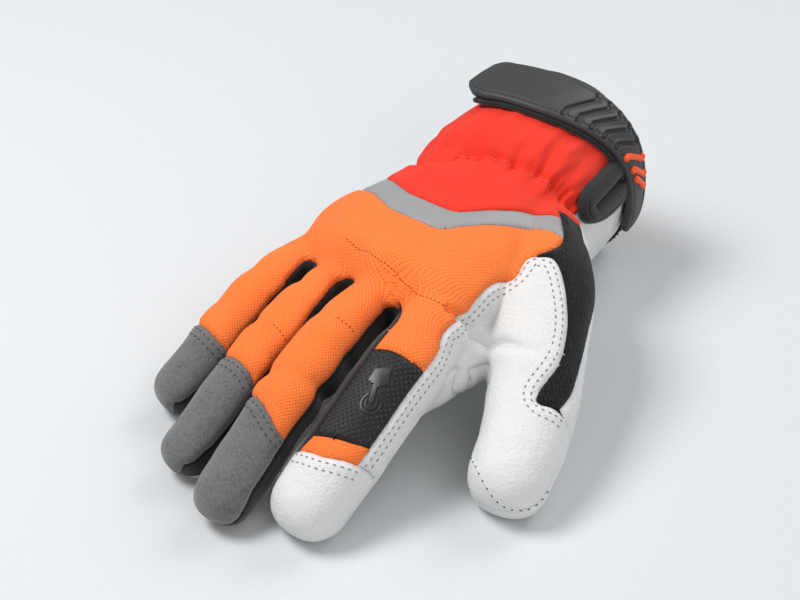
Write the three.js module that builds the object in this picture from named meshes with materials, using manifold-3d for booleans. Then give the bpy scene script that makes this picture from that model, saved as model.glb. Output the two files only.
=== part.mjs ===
// Work glove for the right hand, lying palm down with its fingers bent toward the surface.
// Millimetres, +Z up, fingertips toward -Y, thumb toward +X.
// Each panel is cut out of one hollow form of even wall, so the panels meet edge to edge.

import * as THREE from "three";
import { mergeVertices } from "three/addons/utils/BufferGeometryUtils.js";
import Module from "manifold-3d";

// Driving dimensions.
const wall = 2;
const seamGap = 0.3;
const palmLength = 72;
const palmWidth = 89;
const palmThick = 45;
const palmLift = 40;
const wristWidth = 69;
const wristThick = 56;
const cuffLength = 57;
const cuffWidth = 75;
const cuffThick = 72;
const indexLength = 86;
const indexWidth = 28;
const middleLength = 99;
const middleWidth = 25;
const ringLength = 89;
const ringWidth = 23.5;
const littleLength = 76;
const littleWidth = 21.5;
const thumbLength = 110;
const thumbWidth = 37;
const gatherDepth = 1.3;
const tapeWidth = 13;
const patchLength = 31;
const bandLength = 5;
const bindingThick = 1.3;
const hemBindingWidth = 7;
const slitWidth = 1.6;
const backingThick = 1.2;
const strapWidth = 27;
const strapThick = 3;
const tabRise = 5;
const grooveDepth = 1;
const grooveWidth = 1.5;
const ribWidth = 2.2;
const ribHeight = 1;

const UP = new THREE.Vector3(0, 0, 1);
const HAND_SIDES = 28;
const HAND_ROUNDNESS = 2.25;
const wasm = await Module();
wasm.setup();

// Solids from closed meshes.

function solidOf(geometry) {
  const bare = geometry.clone();
  bare.deleteAttribute("normal");
  bare.deleteAttribute("uv");
  const merged = mergeVertices(bare, 1e-4);
  return new wasm.Manifold(new wasm.Mesh({
    numProp: 3,
    vertProperties: new Float32Array(merged.attributes.position.array),
    triVerts: new Uint32Array(merged.index.array),
  }));
}

function geometryOf(solid) {
  const mesh = solid.getMesh();
  const geometry = new THREE.BufferGeometry();
  geometry.setAttribute("position", new THREE.BufferAttribute(new Float32Array(mesh.vertProperties), 3));
  geometry.setIndex(new THREE.BufferAttribute(mesh.triVerts, 1));
  geometry.computeVertexNormals();
  return geometry;
}

function joined(solids) {
  return solids.reduce((sum, solid) => sum.add(solid));
}

function largestBody(solid) {
  const bodies = solid.decompose();
  return bodies.reduce((best, body) => (body.volume() > best.volume() ? body : best));
}

// Skins a row of rings, each with as many points, and closes both ends flat.
function loft(rings) {
  const n = rings[0].length;
  const faces = [];
  for (let i = 0; i + 1 < rings.length; i += 1) {
    for (let j = 0; j < n; j += 1) {
      const a = i * n + j;
      const b = i * n + ((j + 1) % n);
      faces.push([a, b, a + n], [b, b + n, a + n]);
    }
  }
  const last = (rings.length - 1) * n;
  for (let j = 1; j + 1 < n; j += 1) {
    faces.push([0, j + 1, j], [last, last + j, last + j + 1]);
  }
  const geometry = new THREE.BufferGeometry();
  const points = rings.flat().flatMap((p) => [p.x, p.y, p.z]);
  geometry.setAttribute("position", new THREE.Float32BufferAttribute(points, 3));
  geometry.setIndex(faces.flat());
  const solid = solidOf(geometry);
  if (solid.volume() > 0) return solid;
  geometry.setIndex(faces.map((face) => [face[0], face[2], face[1]]).flat());
  return solidOf(geometry);
}

// An upright prism over a plan outline.
function prism(outline, low, high) {
  const shape = new THREE.Shape(outline.map((p) => new THREE.Vector2(p.x, p.y)));
  const options = { depth: high - low, bevelEnabled: false, steps: 1 };
  return solidOf(new THREE.ExtrudeGeometry(shape, options).translate(0, 0, low));
}

// Moves each corner of a closed outline outward by a distance.
function grown(outline, distance) {
  const turn = Math.sign(THREE.ShapeUtils.area(outline));
  return outline.map((p, i) => {
    const before = outline[(i + outline.length - 1) % outline.length];
    const after = outline[(i + 1) % outline.length];
    const a = new THREE.Vector2(p.y - before.y, before.x - p.x).normalize();
    const b = new THREE.Vector2(after.y - p.y, p.x - after.x).normalize();
    const reach = (turn * distance) / Math.max(0.4, 1 + a.dot(b));
    return new THREE.Vector2(p.x + (a.x + b.x) * reach, p.y + (a.y + b.y) * reach);
  });
}

// Sections of the hand, as shares of the named sizes.
// along: palm length or cuff length from the wrist; side and wide: palm or cuff width;
// lift: palm lift; thick: palm or cuff thickness; slant and tilt: slopes of the wide axis;
// seam: height of the palm seam in half thicknesses.

const palmTable = [
  { along: -1.0, side: -0.084, wide: 0.78, lift: 0.9, thick: 0.46, slant: -0.22, tilt: 0.1, seam: -0.5 },
  { along: -0.92, side: -0.084, wide: 0.87, lift: 0.98, thick: 0.74, slant: -0.22, tilt: 0.1, seam: -0.5 },
  { along: -0.78, side: -0.08, wide: 0.944, lift: 1.01, thick: 0.87, slant: -0.18, tilt: 0.1, seam: -0.4 },
  { along: -0.56, side: -0.068, wide: 0.99, lift: 1.03, thick: 0.92, slant: -0.1, tilt: 0.1, seam: -0.3 },
  { along: -0.33, side: -0.035, wide: 0.95, lift: 1.0, thick: 1.0, slant: 0, tilt: 0.08, seam: -0.1 },
  { along: -0.16, side: -0.015, wide: 0.87, lift: 0.95, thick: 1.13, slant: 0, tilt: 0.04, seam: 0.1 },
];
const cuffTable = [
  { along: 0.17, side: -0.03, wide: 1.02, lift: 0.885, thick: 0.9, gather: 1, seam: 0.3 },
  { along: 0.33, side: -0.035, wide: 1.02, lift: 0.88, thick: 0.96, gather: 0.6, seam: 0.3 },
  { along: 0.46, side: -0.035, wide: 1.0, lift: 0.87, thick: 0.98, gather: 0, seam: 0.3 },
  { along: 1.0, side: -0.035, wide: 0.9, lift: 0.87, thick: 1.0, gather: 0, seam: 0.3 },
];

const wristRow = {
  x: 0, y: 0, z: 0.885 * palmLift, hw: wristWidth / 2, hh: wristThick / 2,
  slant: 0, tilt: 0, gather: 0.35, seam: 0.3,
};
const palmRows = palmTable.map((r) => ({
  ...r,
  x: r.side * palmWidth,
  y: r.along * palmLength,
  z: r.lift * palmLift,
  hw: (r.wide * palmWidth) / 2,
  hh: (r.thick * palmThick) / 2,
  gather: 0,
}));
const cuffRows = cuffTable.map((r) => ({
  ...r,
  x: r.side * cuffWidth,
  y: r.along * cuffLength,
  z: r.lift * palmLift,
  hw: (r.wide * cuffWidth) / 2,
  hh: (r.thick * cuffThick) / 2,
  slant: 0,
  tilt: 0,
}));
const handRows = [...palmRows, wristRow, ...cuffRows];

// One soft dent in the cuff's little-finger side, where the gathers pull it in.
const dent = { turn: 150, along: 0.2, depth: 2.2, spreadTurn: 22, spreadAlong: 0.2 };

function dentAt(degrees, y) {
  const a = (degrees - dent.turn) / dent.spreadTurn;
  const b = (y / cuffLength - dent.along) / dent.spreadAlong;
  return dent.depth * Math.exp(-a * a - b * b);
}

const FAR = 400;
const above = (z) => solidOf(new THREE.BoxGeometry(2 * FAR, 2 * FAR, FAR).translate(0, 0, z + FAR / 2));
const signedPower = (x, p) => Math.sign(x) * Math.abs(x) ** p;

// A point of the hand's section, with the distance grown outward; turn 0 is the thumb side, 90 the back.
function sectionPoint(row, turn, distance) {
  const a = THREE.MathUtils.degToRad(turn);
  const ridge = Math.round(turn / (360 / HAND_SIDES)) % 2 ? 1 : -1;
  const ripple = Math.sin(a) > 0.25 ? ridge * row.gather * gatherDepth * 0.5 : 0;
  const reach = distance + ripple - dentAt(turn, row.y);
  const across = (row.hw + reach) * signedPower(Math.cos(a), 2 / HAND_ROUNDNESS);
  const rise = (row.hh + reach) * signedPower(Math.sin(a), 2 / HAND_ROUNDNESS);
  return new THREE.Vector3(row.x + across, row.y + row.slant * across, row.z + row.tilt * across + rise);
}

function handRing(row, distance) {
  return Array.from({ length: HAND_SIDES }, (_, i) => sectionPoint(row, (i * 360) / HAND_SIDES, distance));
}

function handForm(distance) {
  const rows = handRows.map((row, i) => (i ? row : { ...row, y: row.y - distance }));
  const form = loft(rows.map((row) => handRing(row, distance)));
  return form.intersect(above(bindingThick + seamGap - distance));
}

// The hand's section at a share of the cuff length, straight between the table's rows.
function cuffRowAt(share) {
  const y = share * cuffLength;
  const i = Math.min(handRows.length - 2, handRows.findIndex((row, k) => k && y <= row.y) - 1);
  const start = i < 0 ? handRows.length - 2 : i;
  const [a, b] = [handRows[start], handRows[start + 1]];
  const t = (y - a.y) / (b.y - a.y);
  const row = { slant: 0, tilt: 0 };
  for (const key of ["x", "y", "z", "hw", "hh", "gather", "seam"]) row[key] = a[key] + (b[key] - a[key]) * t;
  return row;
}

const cuffPoint = (turn, share, distance) => sectionPoint(cuffRowAt(share), turn, distance);

// A closed band of the cuff between two shares of its length.
function cuffBand(from, to, distance) {
  const between = cuffTable.map((r) => r.along).filter((share) => share > from + 0.01 && share < to - 0.01);
  const shares = [from, ...between, to];
  const band = loft(shares.map((share) => handRing(cuffRowAt(share), distance)));
  return band.intersect(above(bindingThick + seamGap - distance));
}

// Fingers and thumb as tubes along bent centre lines.

function stationsOf(rows, steps) {
  const centre = new THREE.CatmullRomCurve3(rows.map((r) => new THREE.Vector3(r.x, r.y, r.z)));
  const size = new THREE.CatmullRomCurve3(rows.map((r) => new THREE.Vector3(r.hw, r.hh, 0)));
  return Array.from({ length: steps + 1 }, (_, i) => {
    const half = size.getPoint(i / steps);
    const d = centre.getTangent(i / steps);
    const u = new THREE.Vector3().crossVectors(UP, d).normalize();
    const v = new THREE.Vector3().crossVectors(d, u);
    return { c: centre.getPoint(i / steps), d, u, v, hw: half.x, hh: half.y };
  });
}

function stationPoint(s, across, rise) {
  return s.c.clone().addScaledVector(s.u, across).addScaledVector(s.v, rise);
}

function ahead(s, distance) {
  return { ...s, c: s.c.clone().addScaledVector(s.d, distance) };
}

function tubeRing(s, hw, hh, sides, roundness) {
  return Array.from({ length: sides }, (_, i) => {
    const a = (i / sides) * 2 * Math.PI;
    const across = hw * signedPower(Math.cos(a), 2 / roundness);
    return stationPoint(s, across, hh * signedPower(Math.sin(a), 2 / roundness));
  });
}

// Blunt tip: how far ahead and how wide, as shares. The inner face has fewer sides than the outer one.
const tipTable = [[0.56, 0.9], [0.97, 0.46]];

function tube(form, distance) {
  const { stations, roundness, tipReach } = form;
  const sides = distance < 0 ? 8 : form.sides;
  const rings = stations.map((s, i) => {
    const start = i ? s : ahead(s, -distance);
    return tubeRing(start, s.hw + distance, s.hh + distance, sides, roundness);
  });
  const end = stations[stations.length - 1];
  for (const [far, wide] of tipTable) {
    const s = ahead(end, (tipReach + distance) * far);
    rings.push(tubeRing(s, (end.hw + distance) * wide, (end.hh + distance) * wide, sides, roundness));
  }
  return loft(rings);
}

// along, rise, wide, thick: shares of the finger's length, lift, width and thickness.
const fingerTable = [
  { along: 0.0, rise: 1.0, wide: 0.76, thick: 0.96 },
  { along: 0.2, rise: 1.0, wide: 0.86, thick: 1.0 },
  { along: 0.38, rise: 0.94, wide: 0.97, thick: 1.02 },
  { along: 0.55, rise: 0.79, wide: 1.0, thick: 1.0 },
  { along: 0.71, rise: 0.55, wide: 0.98, thick: 0.97 },
  { along: 0.86, rise: 0.26, wide: 0.96, thick: 0.94 },
  { along: 1.0, rise: 0.0, wide: 0.93, thick: 0.9 },
];

// Roots as shares of the palm, heading in degrees, bow and thickness as shares of the width,
// cap: where along the finger its tip cap starts.
const fingerTableRoots = {
  index: { side: 0.253, along: -0.79, lift: 1.0, heading: 0.2, bow: 0.11, thick: 1.0, cap: 0.85 },
  middle: { side: -0.047, along: -0.79, lift: 1.05, heading: 0.3, bow: 0.02, thick: 1.03, cap: 0.71 },
  ring: { side: -0.301, along: -0.76, lift: 0.975, heading: -1.3, bow: 0.08, thick: 1.05, cap: 0.66 },
  little: { side: -0.462, along: -0.61, lift: 0.8, heading: -8.9, bow: 0.02, thick: 1.03, cap: 0.74 },
};

function fingerForm(root, length, width) {
  const turn = THREE.MathUtils.degToRad(root.heading);
  const half = (width * root.thick) / 2;
  const tipLift = half * 0.84;
  const bowAt = (along) => root.bow * width * Math.sin(Math.PI * along);
  const rows = fingerTable.map((r) => ({
    x: root.side * palmWidth + Math.sin(turn) * length * r.along + bowAt(r.along),
    y: root.along * palmLength - Math.cos(turn) * length * r.along,
    z: tipLift + (root.lift * palmLift - tipLift) * r.rise,
    hw: (width / 2) * r.wide,
    hh: half * r.thick,
  }));
  return { stations: stationsOf(rows, 5), sides: 12, roundness: 2.3, tipReach: width * 0.47, cap: root.cap };
}

const index = fingerForm(fingerTableRoots.index, indexLength, indexWidth);
const middle = fingerForm(fingerTableRoots.middle, middleLength, middleWidth);
const ring = fingerForm(fingerTableRoots.ring, ringLength, ringWidth);
const little = fingerForm(fingerTableRoots.little, littleLength, littleWidth);

// out and along: shares of the thumb's length from its root; rise: share of the palm's lift.
const thumbTable = [
  { out: 0, along: 0, rise: 0.9, wide: 0.7, thick: 0.88 },
  { out: 0.08, along: 0.16, rise: 1.0, wide: 0.95, thick: 0.97 },
  { out: 0.186, along: 0.32, rise: 0.93, wide: 1.0, thick: 1.0 },
  { out: 0.283, along: 0.5, rise: 0.66, wide: 0.92, thick: 0.92 },
  { out: 0.363, along: 0.66, rise: 0.41, wide: 0.865, thick: 0.84 },
  { out: 0.416, along: 0.8, rise: 0.17, wide: 0.81, thick: 0.785 },
  { out: 0.438, along: 0.9, rise: 0, wide: 0.757, thick: 0.757 },
];
const thumbRows = thumbTable.map((r) => ({
  x: 0.253 * palmWidth + r.out * thumbLength,
  y: 0.055 * palmLength - r.along * thumbLength,
  z: 0.34 * thumbWidth + (palmLift - 0.34 * thumbWidth) * r.rise,
  hw: (thumbWidth / 2) * r.wide,
  hh: (thumbWidth / 2) * r.thick,
}));
const thumb = { stations: stationsOf(thumbRows, 6), sides: 12, roundness: 2.2, tipReach: thumbWidth * 0.38 };

// The fold of leather between hand and thumb, and the fullness of the palm under the index finger.
const thumbMiddle = thumb.stations[3].c;
const onPalm = (side, along, lift) => ({ x: side * palmWidth, y: along * palmLength, z: lift * palmLift });
const webRows = [
  { ...onPalm(0.2, -0.58, 0.9), hw: 0.3 * palmThick, hh: 0.26 * palmThick },
  { ...onPalm(0.4, -0.63, 0.8), hw: 0.3 * palmThick, hh: 0.27 * palmThick },
  { x: thumbMiddle.x, y: thumbMiddle.y, z: thumbMiddle.z, hw: 0.27 * palmThick, hh: 0.27 * palmThick },
];
const web = { stations: stationsOf(webRows, 2), sides: 10, roundness: 2.2, tipReach: 2 };
const fullnessTable = [
  { side: 0.22, along: -0.6, lift: 0.78, wide: 0.55, thick: 0.42 },
  { side: 0.29, along: -0.84, lift: 0.72, wide: 0.62, thick: 0.42 },
  { side: 0.27, along: -1.08, lift: 0.66, wide: 0.56, thick: 0.36 },
  { side: 0.255, along: -1.26, lift: 0.6, wide: 0.44, thick: 0.3 },
];
const fullnessRows = fullnessTable.map((r) => ({
  x: r.side * palmWidth,
  y: r.along * palmLength,
  z: r.lift * palmLift,
  hw: r.wide * indexWidth,
  hh: r.thick * indexWidth,
}));
const fullness = { stations: stationsOf(fullnessRows, 3), sides: 10, roundness: 2.2, tipReach: 3 };

function gloveForm(distance) {
  const tubes = [index, middle, ring, little, thumb, web, fullness].map((form) => tube(form, distance));
  return joined([...tubes, handForm(distance)]);
}

// Cutters. Each can be grown by the seam gap, and what is grown is only taken away.

// A block swept along a finger. Each reach is [left, right, low, high] in half widths and thicknesses.
function sweep(stations, reaches, grow) {
  return loft(stations.map((s, i) => {
    const [left, right, low, high] = reaches[Math.min(i, reaches.length - 1)];
    const [a, b] = [left * s.hw - grow, right * s.hw + grow];
    const [c, d] = [low * s.hh - grow, high * s.hh + grow];
    return [stationPoint(s, a, c), stationPoint(s, b, c), stationPoint(s, b, d), stationPoint(s, a, d)];
  }));
}

function stationAt(form, share) {
  const at = share * (form.stations.length - 1);
  const i = Math.min(form.stations.length - 2, Math.floor(at));
  const [a, b] = [form.stations[i], form.stations[i + 1]];
  const t = at - i;
  const s = { hw: a.hw + (b.hw - a.hw) * t, hh: a.hh + (b.hh - a.hh) * t };
  for (const key of ["c", "d", "u", "v"]) s[key] = a[key].clone().lerp(b[key], t);
  return s;
}

// The stations from a share of the finger's length on, with two more past the tip.
function stationsFrom(form, share, grow) {
  const start = ahead(stationAt(form, share), -grow);
  const n = form.stations.length - 1;
  const later = form.stations.filter((_, i) => i / n > share + 0.03);
  const end = form.stations[n];
  return [start, ...later, ahead(end, form.tipReach * 0.45), ahead(end, form.tipReach + 3)];
}

// Plan points from a station of a finger, or from shares of the palm, or of the cuff behind the wrist.
const onFinger = (form, share, across) => {
  const s = stationAt(form, share);
  return stationPoint(s, across * s.hw, 0);
};
const onHand = (side, along) => (
  new THREE.Vector2(side * palmWidth, along * (along < 0 ? palmLength : cuffLength))
);
const outlineOf = (points) => points.map((p) => new THREE.Vector2(p.x, p.y));

// Palm: below the seam height on the hand, fingers and thumb, and up the thumb side of the wrist.
function palmCutter(grow) {
  const handBlock = loft(handRows.map((row, i) => {
    const y = row.y + (i === 0 ? -3 : 0) + (i === handRows.length - 1 ? 10 : 0);
    const [left, right, low] = [row.x - row.hw * 1.3, row.x + row.hw * 1.25, row.z - row.hh * 2];
    const high = row.z + row.hh * row.seam + grow;
    const corners = [[left, low], [right, low], [right, high], [left, high - row.tilt * row.hw * 1.3]];
    return corners.map(([x, z]) => new THREE.Vector3(x, y, z));
  }));
  const fingers = [[index, -1.2], [middle, -1.03], [ring, -1.03], [little, -1.03]].map(([form, left]) => (
    sweep(stationsFrom(form, 0.14, 0), [[left, 1.03, -2, -0.45]], grow)
  ));
  const thumbBlock = sweep(stationsFrom(thumb, 0.12, 0), [[-1.2, 1.3, -2, -0.05]], grow);
  const wristSide = prism(grown(outlineOf([
    onFinger(thumb, 0.16, 0.55), onFinger(thumb, 0.24, 1.3), onHand(1.2, -0.3), onHand(1.2, 0.9),
    onHand(0.42, 0.9), onHand(0.375, 0.5), onHand(0.375, 0.2), onHand(0.38, 0.08),
  ]), grow), 0, palmLift * 1.22 + grow);
  return joined([handBlock, ...fingers, thumbBlock, wristSide]);
}

// Fingertip caps over the back of the tips.
const capCutter = (form) => (grow) => {
  const stations = stationsFrom(form, form.cap, grow);
  const reaches = stations.map((_, i) => [-1.03, 1.03, i < stations.length - 2 ? 0.35 : -0.1, 2]);
  return sweep(stations, reaches, grow);
};
const wrapCutter = (form, left, right, low) => (grow) => (
  sweep(stationsFrom(form, form.cap, grow), [[left, right, low, 2]], grow)
);

// Strips between neighbouring fingers, joined at the web.
const stripCutter = (first, second, shares) => (grow) => {
  const right = stationsFrom(second, 0.1, 0).slice(0, shares.stop);
  const left = stationsFrom(first, 0.1, 0);
  const webAt = stationAt(second, 0.14).c;
  const webTo = stationAt(first, 0.14).c;
  const height = Math.min(webAt.z, webTo.z) + shares.web * palmThick;
  const [near, far] = [shares.inner * palmLength, -1.08 * palmLength];
  const webOutline = [
    new THREE.Vector2(webTo.x, far), new THREE.Vector2(webAt.x, far),
    new THREE.Vector2(webAt.x, near), new THREE.Vector2(webTo.x, near),
  ];
  return joined([
    sweep(right, [[-1.03, -0.02, -0.6, 0.4]], grow),
    sweep(left, [[0.02, 1.03, -0.6, 0.4]], grow),
    prism(grown(webOutline, grow), palmLift * 0.4, height + grow),
  ]);
};

// Knit over the back and outer side of the thumb; across is in half widths of the thumb.
const knitEdge = [
  [0.08, 0.35], [0.25, 0.4], [0.31, 0.2], [0.345, -0.2], [0.352, 0.18], [0.42, 0.43], [0.53, 0.6],
  [0.65, 0.53], [0.77, 0.22], [0.8, 0.3], [0.785, 0.7], [0.77, 1.4], [0.5, 1.5], [0.2, 1.6],
];
const knitCutter = (grow) => (
  prism(grown(outlineOf(knitEdge.map(([share, across]) => onFinger(thumb, share, across))), grow), 0, FAR)
);

// Leather over the index finger's outer side, the web and the back of the thumb.
function sideCutter(grow) {
  const beyond = ahead(stationAt(thumb, 1), 2 * thumb.tipReach).c;
  const outline = outlineOf([
    onFinger(index, 0.36, 1.2), onFinger(index, 0.3, 0.8), onFinger(index, 0.22, 0.76),
    onHand(0.383, -0.86), onHand(0.396, -0.68), onHand(0.43, -0.59),
    onFinger(thumb, 0.345, -0.24), onFinger(thumb, 0.37, 0.8), onFinger(thumb, 0.8, 1.5),
    { x: beyond.x + 1.2 * thumbWidth, y: beyond.y }, { x: beyond.x - 0.9 * thumbWidth, y: beyond.y },
  ]);
  const indexSide = sweep(stationsFrom(index, 0.12, 0), [[0.3, 1.2, -0.6, 0.55]], grow);
  return joined([indexSide, prism(grown(outline, grow), 0, FAR)]);
}

// Reflective band: a chevron across the back; edge toward the fingers, in shares of the palm.
const tapeEdge = [
  [-0.62, -0.3], [-0.42, -0.4], [-0.2, -0.58], [0.045, -0.645],
  [0.16, -0.555], [0.3, -0.37], [0.4, -0.275], [0.62, -0.26],
];
const tapeFront = tapeEdge.map(([side, along]) => onHand(side, along));
const tapeBack = tapeFront.map((p) => new THREE.Vector2(p.x, p.y + tapeWidth * 0.92)).reverse();
const tapeCutter = (grow) => prism(grown([...tapeFront, ...tapeBack], grow), 0, FAR);
const cuffCutter = (grow) => {
  const corners = [new THREE.Vector2(-FAR, FAR), new THREE.Vector2(-FAR, tapeBack[7].y)];
  const far = [new THREE.Vector2(FAR, tapeBack[0].y), new THREE.Vector2(FAR, FAR)];
  return prism(grown([...corners, ...[...tapeBack].reverse(), ...far], grow), 0, FAR);
};

// Touch patch and the fabric band before the index cap, measured back from the cap.
function indexCutter(from, to) {
  return (grow) => {
    const start = ahead(stationAt(index, from), -grow);
    const n = index.stations.length - 1;
    const between = index.stations.filter((_, i) => i / n > from + 0.03 && i / n < to - 0.03);
    const end = ahead(stationAt(index, to), grow);
    return sweep([start, ...between, end], [[-1.03, 1.06, -0.45, 2]], grow);
  };
}
const bandStart = index.cap - bandLength / indexLength;
const patchStart = bandStart - patchLength / indexLength;

// The hollow form, flat where it rests, then the panels cut from it one after another.
const outside = gloveForm(0).intersect(above(0));
const inside = gloveForm(-wall).intersect(above(wall));
const mouth = cuffBand(0.98, 1.2, -wall);
const slitSpan = { turn: 17, from: 0.27 };
const slitFoot = cuffPoint(slitSpan.turn, slitSpan.from, 0);
const slitBlock = solidOf(new THREE.BoxGeometry(30, FAR, slitWidth)
  .translate(slitFoot.x, slitFoot.y + FAR / 2, slitFoot.z));
let rest = outside.subtract(inside).subtract(mouth).subtract(slitBlock);

function take(cutter) {
  const piece = largestBody(rest.intersect(cutter(0)));
  rest = rest.subtract(cutter(seamGap));
  return piece;
}

const palmLeather = take(palmCutter);
const indexCap = take(wrapCutter(index, -1.03, 1.2, -0.6));
const middleCap = take(capCutter(middle));
const ringCap = take(capCutter(ring));
const littleCap = take(wrapCutter(little, -1.3, 1.03, -0.6));
const indexStrip = take(stripCutter(middle, index, { stop: -3, web: 0.02, inner: -0.9 }));
const middleStrip = take(stripCutter(ring, middle, { web: -0.02, inner: -0.88 }));
const ringStrip = take(stripCutter(little, ring, { web: 0.02, inner: -0.84 }));
const thumbKnit = take(knitCutter);
const sideLeather = take(sideCutter);
const tape = take(tapeCutter);
const cuff = take(cuffCutter);
const patch = take(indexCutter(patchStart, bandStart));
const band = take(indexCutter(bandStart, index.cap));
const backMesh = largestBody(rest);

// Bindings: a channel folded over the hem, and a loop round the slit.
const hemStart = 1 - hemBindingWidth / cuffLength;
const hemEnd = 1 + (bindingThick + seamGap) / cuffLength;
const channel = cuffBand(hemStart, hemEnd, bindingThick + seamGap)
  .subtract(cuffBand(hemStart - 0.1, hemEnd + 0.1, -wall - seamGap - bindingThick))
  .subtract(cuffBand(hemStart - 0.1, 1 + seamGap / cuffLength, seamGap)
    .subtract(cuffBand(hemStart - 0.2, hemEnd + 0.1, -wall - seamGap)));
const hemBinding = largestBody(channel.subtract(slitBlock));

// Loop of binding round the slit: a drop-shaped patch, in turns and shares of the cuff's length.
const loopTable = [
  [29, 0.855], [30, 0.6], [31, 0.3], [28, 0.19], [21, 0.155],
  [13, 0.2], [7, 0.33], [4, 0.5], [3, 0.7], [6, 0.855],
];
const SIDEWAYS = new THREE.Matrix4().makeBasis(
  new THREE.Vector3(0, 1, 0), new THREE.Vector3(0, 0, 1), new THREE.Vector3(1, 0, 0),
);
const loopOutline = loopTable.map(([turn, share]) => {
  const p = cuffPoint(turn, share, 0);
  return new THREE.Vector2(p.y, p.z);
});
const loopBlock = solidOf(new THREE.ExtrudeGeometry(
  new THREE.Shape(loopOutline), { depth: FAR, bevelEnabled: false, steps: 1 },
).applyMatrix4(SIDEWAYS));
const slitBinding = largestBody(cuffBand(0, 1, seamGap + bindingThick)
  .subtract(cuffBand(0, 1, seamGap))
  .intersect(loopBlock)
  .subtract(slitBlock));

// Strap over the cuff. step: sides of the cuff's section, counted up from the thumb side;
// centre: share of the cuff's length; wide: share of the strap's width;
// off: how far its free tab stands off, as a share of the rise.
const STEP = 360 / HAND_SIDES;
const strapTable = [
  { step: 9.95, centre: 0.74, wide: 0.6, off: 1.0 },
  { step: 9.6, centre: 0.72, wide: 0.88, off: 0.8 },
  { step: 9, centre: 0.7, wide: 1.0, off: 0.42 },
  { step: 8, centre: 0.7, wide: 1.0, off: 0.08 },
  { step: 7, centre: 0.7, wide: 1.0, off: 0 },
  { step: 6, centre: 0.71, wide: 0.97, off: 0 },
  { step: 5, centre: 0.74, wide: 0.91, off: 0 },
  { step: 4, centre: 0.78, wide: 0.82, off: 0 },
  { step: 3, centre: 0.82, wide: 0.72, off: 0 },
  { step: 2, centre: 0.855, wide: 0.64, off: 0 },
  { step: 1, centre: 0.875, wide: 0.58, off: 0 },
  { step: 0, centre: 0.89, wide: 0.54, off: 0 },
  { step: -1, centre: 0.885, wide: 0.5, off: 0 },
  { step: -1.4, centre: 0.88, wide: 0.4, off: 0 },
];
const strapFoot = 2 * seamGap + Math.max(backingThick, bindingThick);
const strapTop = strapFoot + strapThick;
const strapEdge = 0.8;

// Edge of the strap at a table row, as a share of the cuff's length; side is -1 or 1.
const strapShare = (row, side, inset) => (
  row.centre + (side * ((row.wide * strapWidth) / 2 - inset)) / cuffLength
);

const strapSections = strapTable.map((row) => {
  const off = row.off * tabRise;
  const corners = [
    [-1, 0, strapFoot], [1, 0, strapFoot], [1, 0, strapTop - strapEdge],
    [1, strapEdge, strapTop], [-1, strapEdge, strapTop], [-1, 0, strapTop - strapEdge],
  ];
  return corners.map(([side, inset, height]) => (
    cuffPoint(row.step * STEP, strapShare(row, side, inset), height + off)
  ));
});

// The strap's row at any step, straight between the table's rows.
function strapRowAt(step) {
  const i = Math.min(strapTable.length - 2, Math.max(0, strapTable.findIndex((row) => row.step <= step) - 1));
  const [a, b] = [strapTable[i], strapTable[i + 1]];
  const t = (step - a.step) / (b.step - a.step);
  return { centre: a.centre + (b.centre - a.centre) * t, wide: a.wide + (b.wide - a.wide) * t };
}

// A bar laid over the strap, along a path of steps and of shares of its half width.
function barOnStrap(path, width, low, high) {
  const points = path.map(([step, across]) => {
    const row = strapRowAt(step);
    return [step * STEP, row.centre + (across * row.wide * strapWidth) / 2 / cuffLength];
  });
  return loft(points.map(([turn, share], i) => {
    const [a, b] = [points[Math.max(0, i - 1)], points[Math.min(points.length - 1, i + 1)]];
    const along = cuffPoint(b[0], b[1], high).sub(cuffPoint(a[0], a[1], high)).normalize();
    const [foot, top] = [cuffPoint(turn, share, low), cuffPoint(turn, share, high)];
    const out = top.clone().sub(foot).normalize();
    const across = new THREE.Vector3().crossVectors(along, out).normalize().multiplyScalar(width / 2);
    const add = (p, side) => p.clone().addScaledVector(across, side);
    return [add(foot, -1), add(foot, 1), add(top, 1), add(top, -1)];
  }));
}

const grooveSteps = [5.25, 4.6, 3.95, 3.25, 2.5];
const grooves = grooveSteps.map((step) => barOnStrap(
  [[step + 0.35, -0.82], [step + 0.38, -0.5], [step - 0.3, 0.55], [step - 0.18, 0.8]],
  grooveWidth, strapTop - grooveDepth, strapTop + 2,
));
const strap = grooves.reduce((solid, groove) => solid.subtract(groove), loft(strapSections));
const ribs = [1.75, 1.05, 0.55].map((step) => barOnStrap(
  [[step + 0.35, -0.5], [step - 0.3, 0.75]], ribWidth, strapTop + seamGap, strapTop + seamGap + ribHeight,
));

// Backing under the strap, a little wider toward the hand, clear of the hem's binding.
const backing = loft(strapTable.filter((row) => row.step < 9.5 && row.step > 2.5).map((row) => {
  const low = strapShare(row, -1, -1.2);
  const high = Math.min(strapShare(row, 1, 1.5), hemStart - 2 * seamGap / cuffLength);
  const [foot, top] = [seamGap, seamGap + backingThick];
  const corners = [[low, foot], [high, foot], [high, top], [low, top]];
  return corners.map(([share, height]) => cuffPoint(row.step * STEP, share, height));
}));

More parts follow.
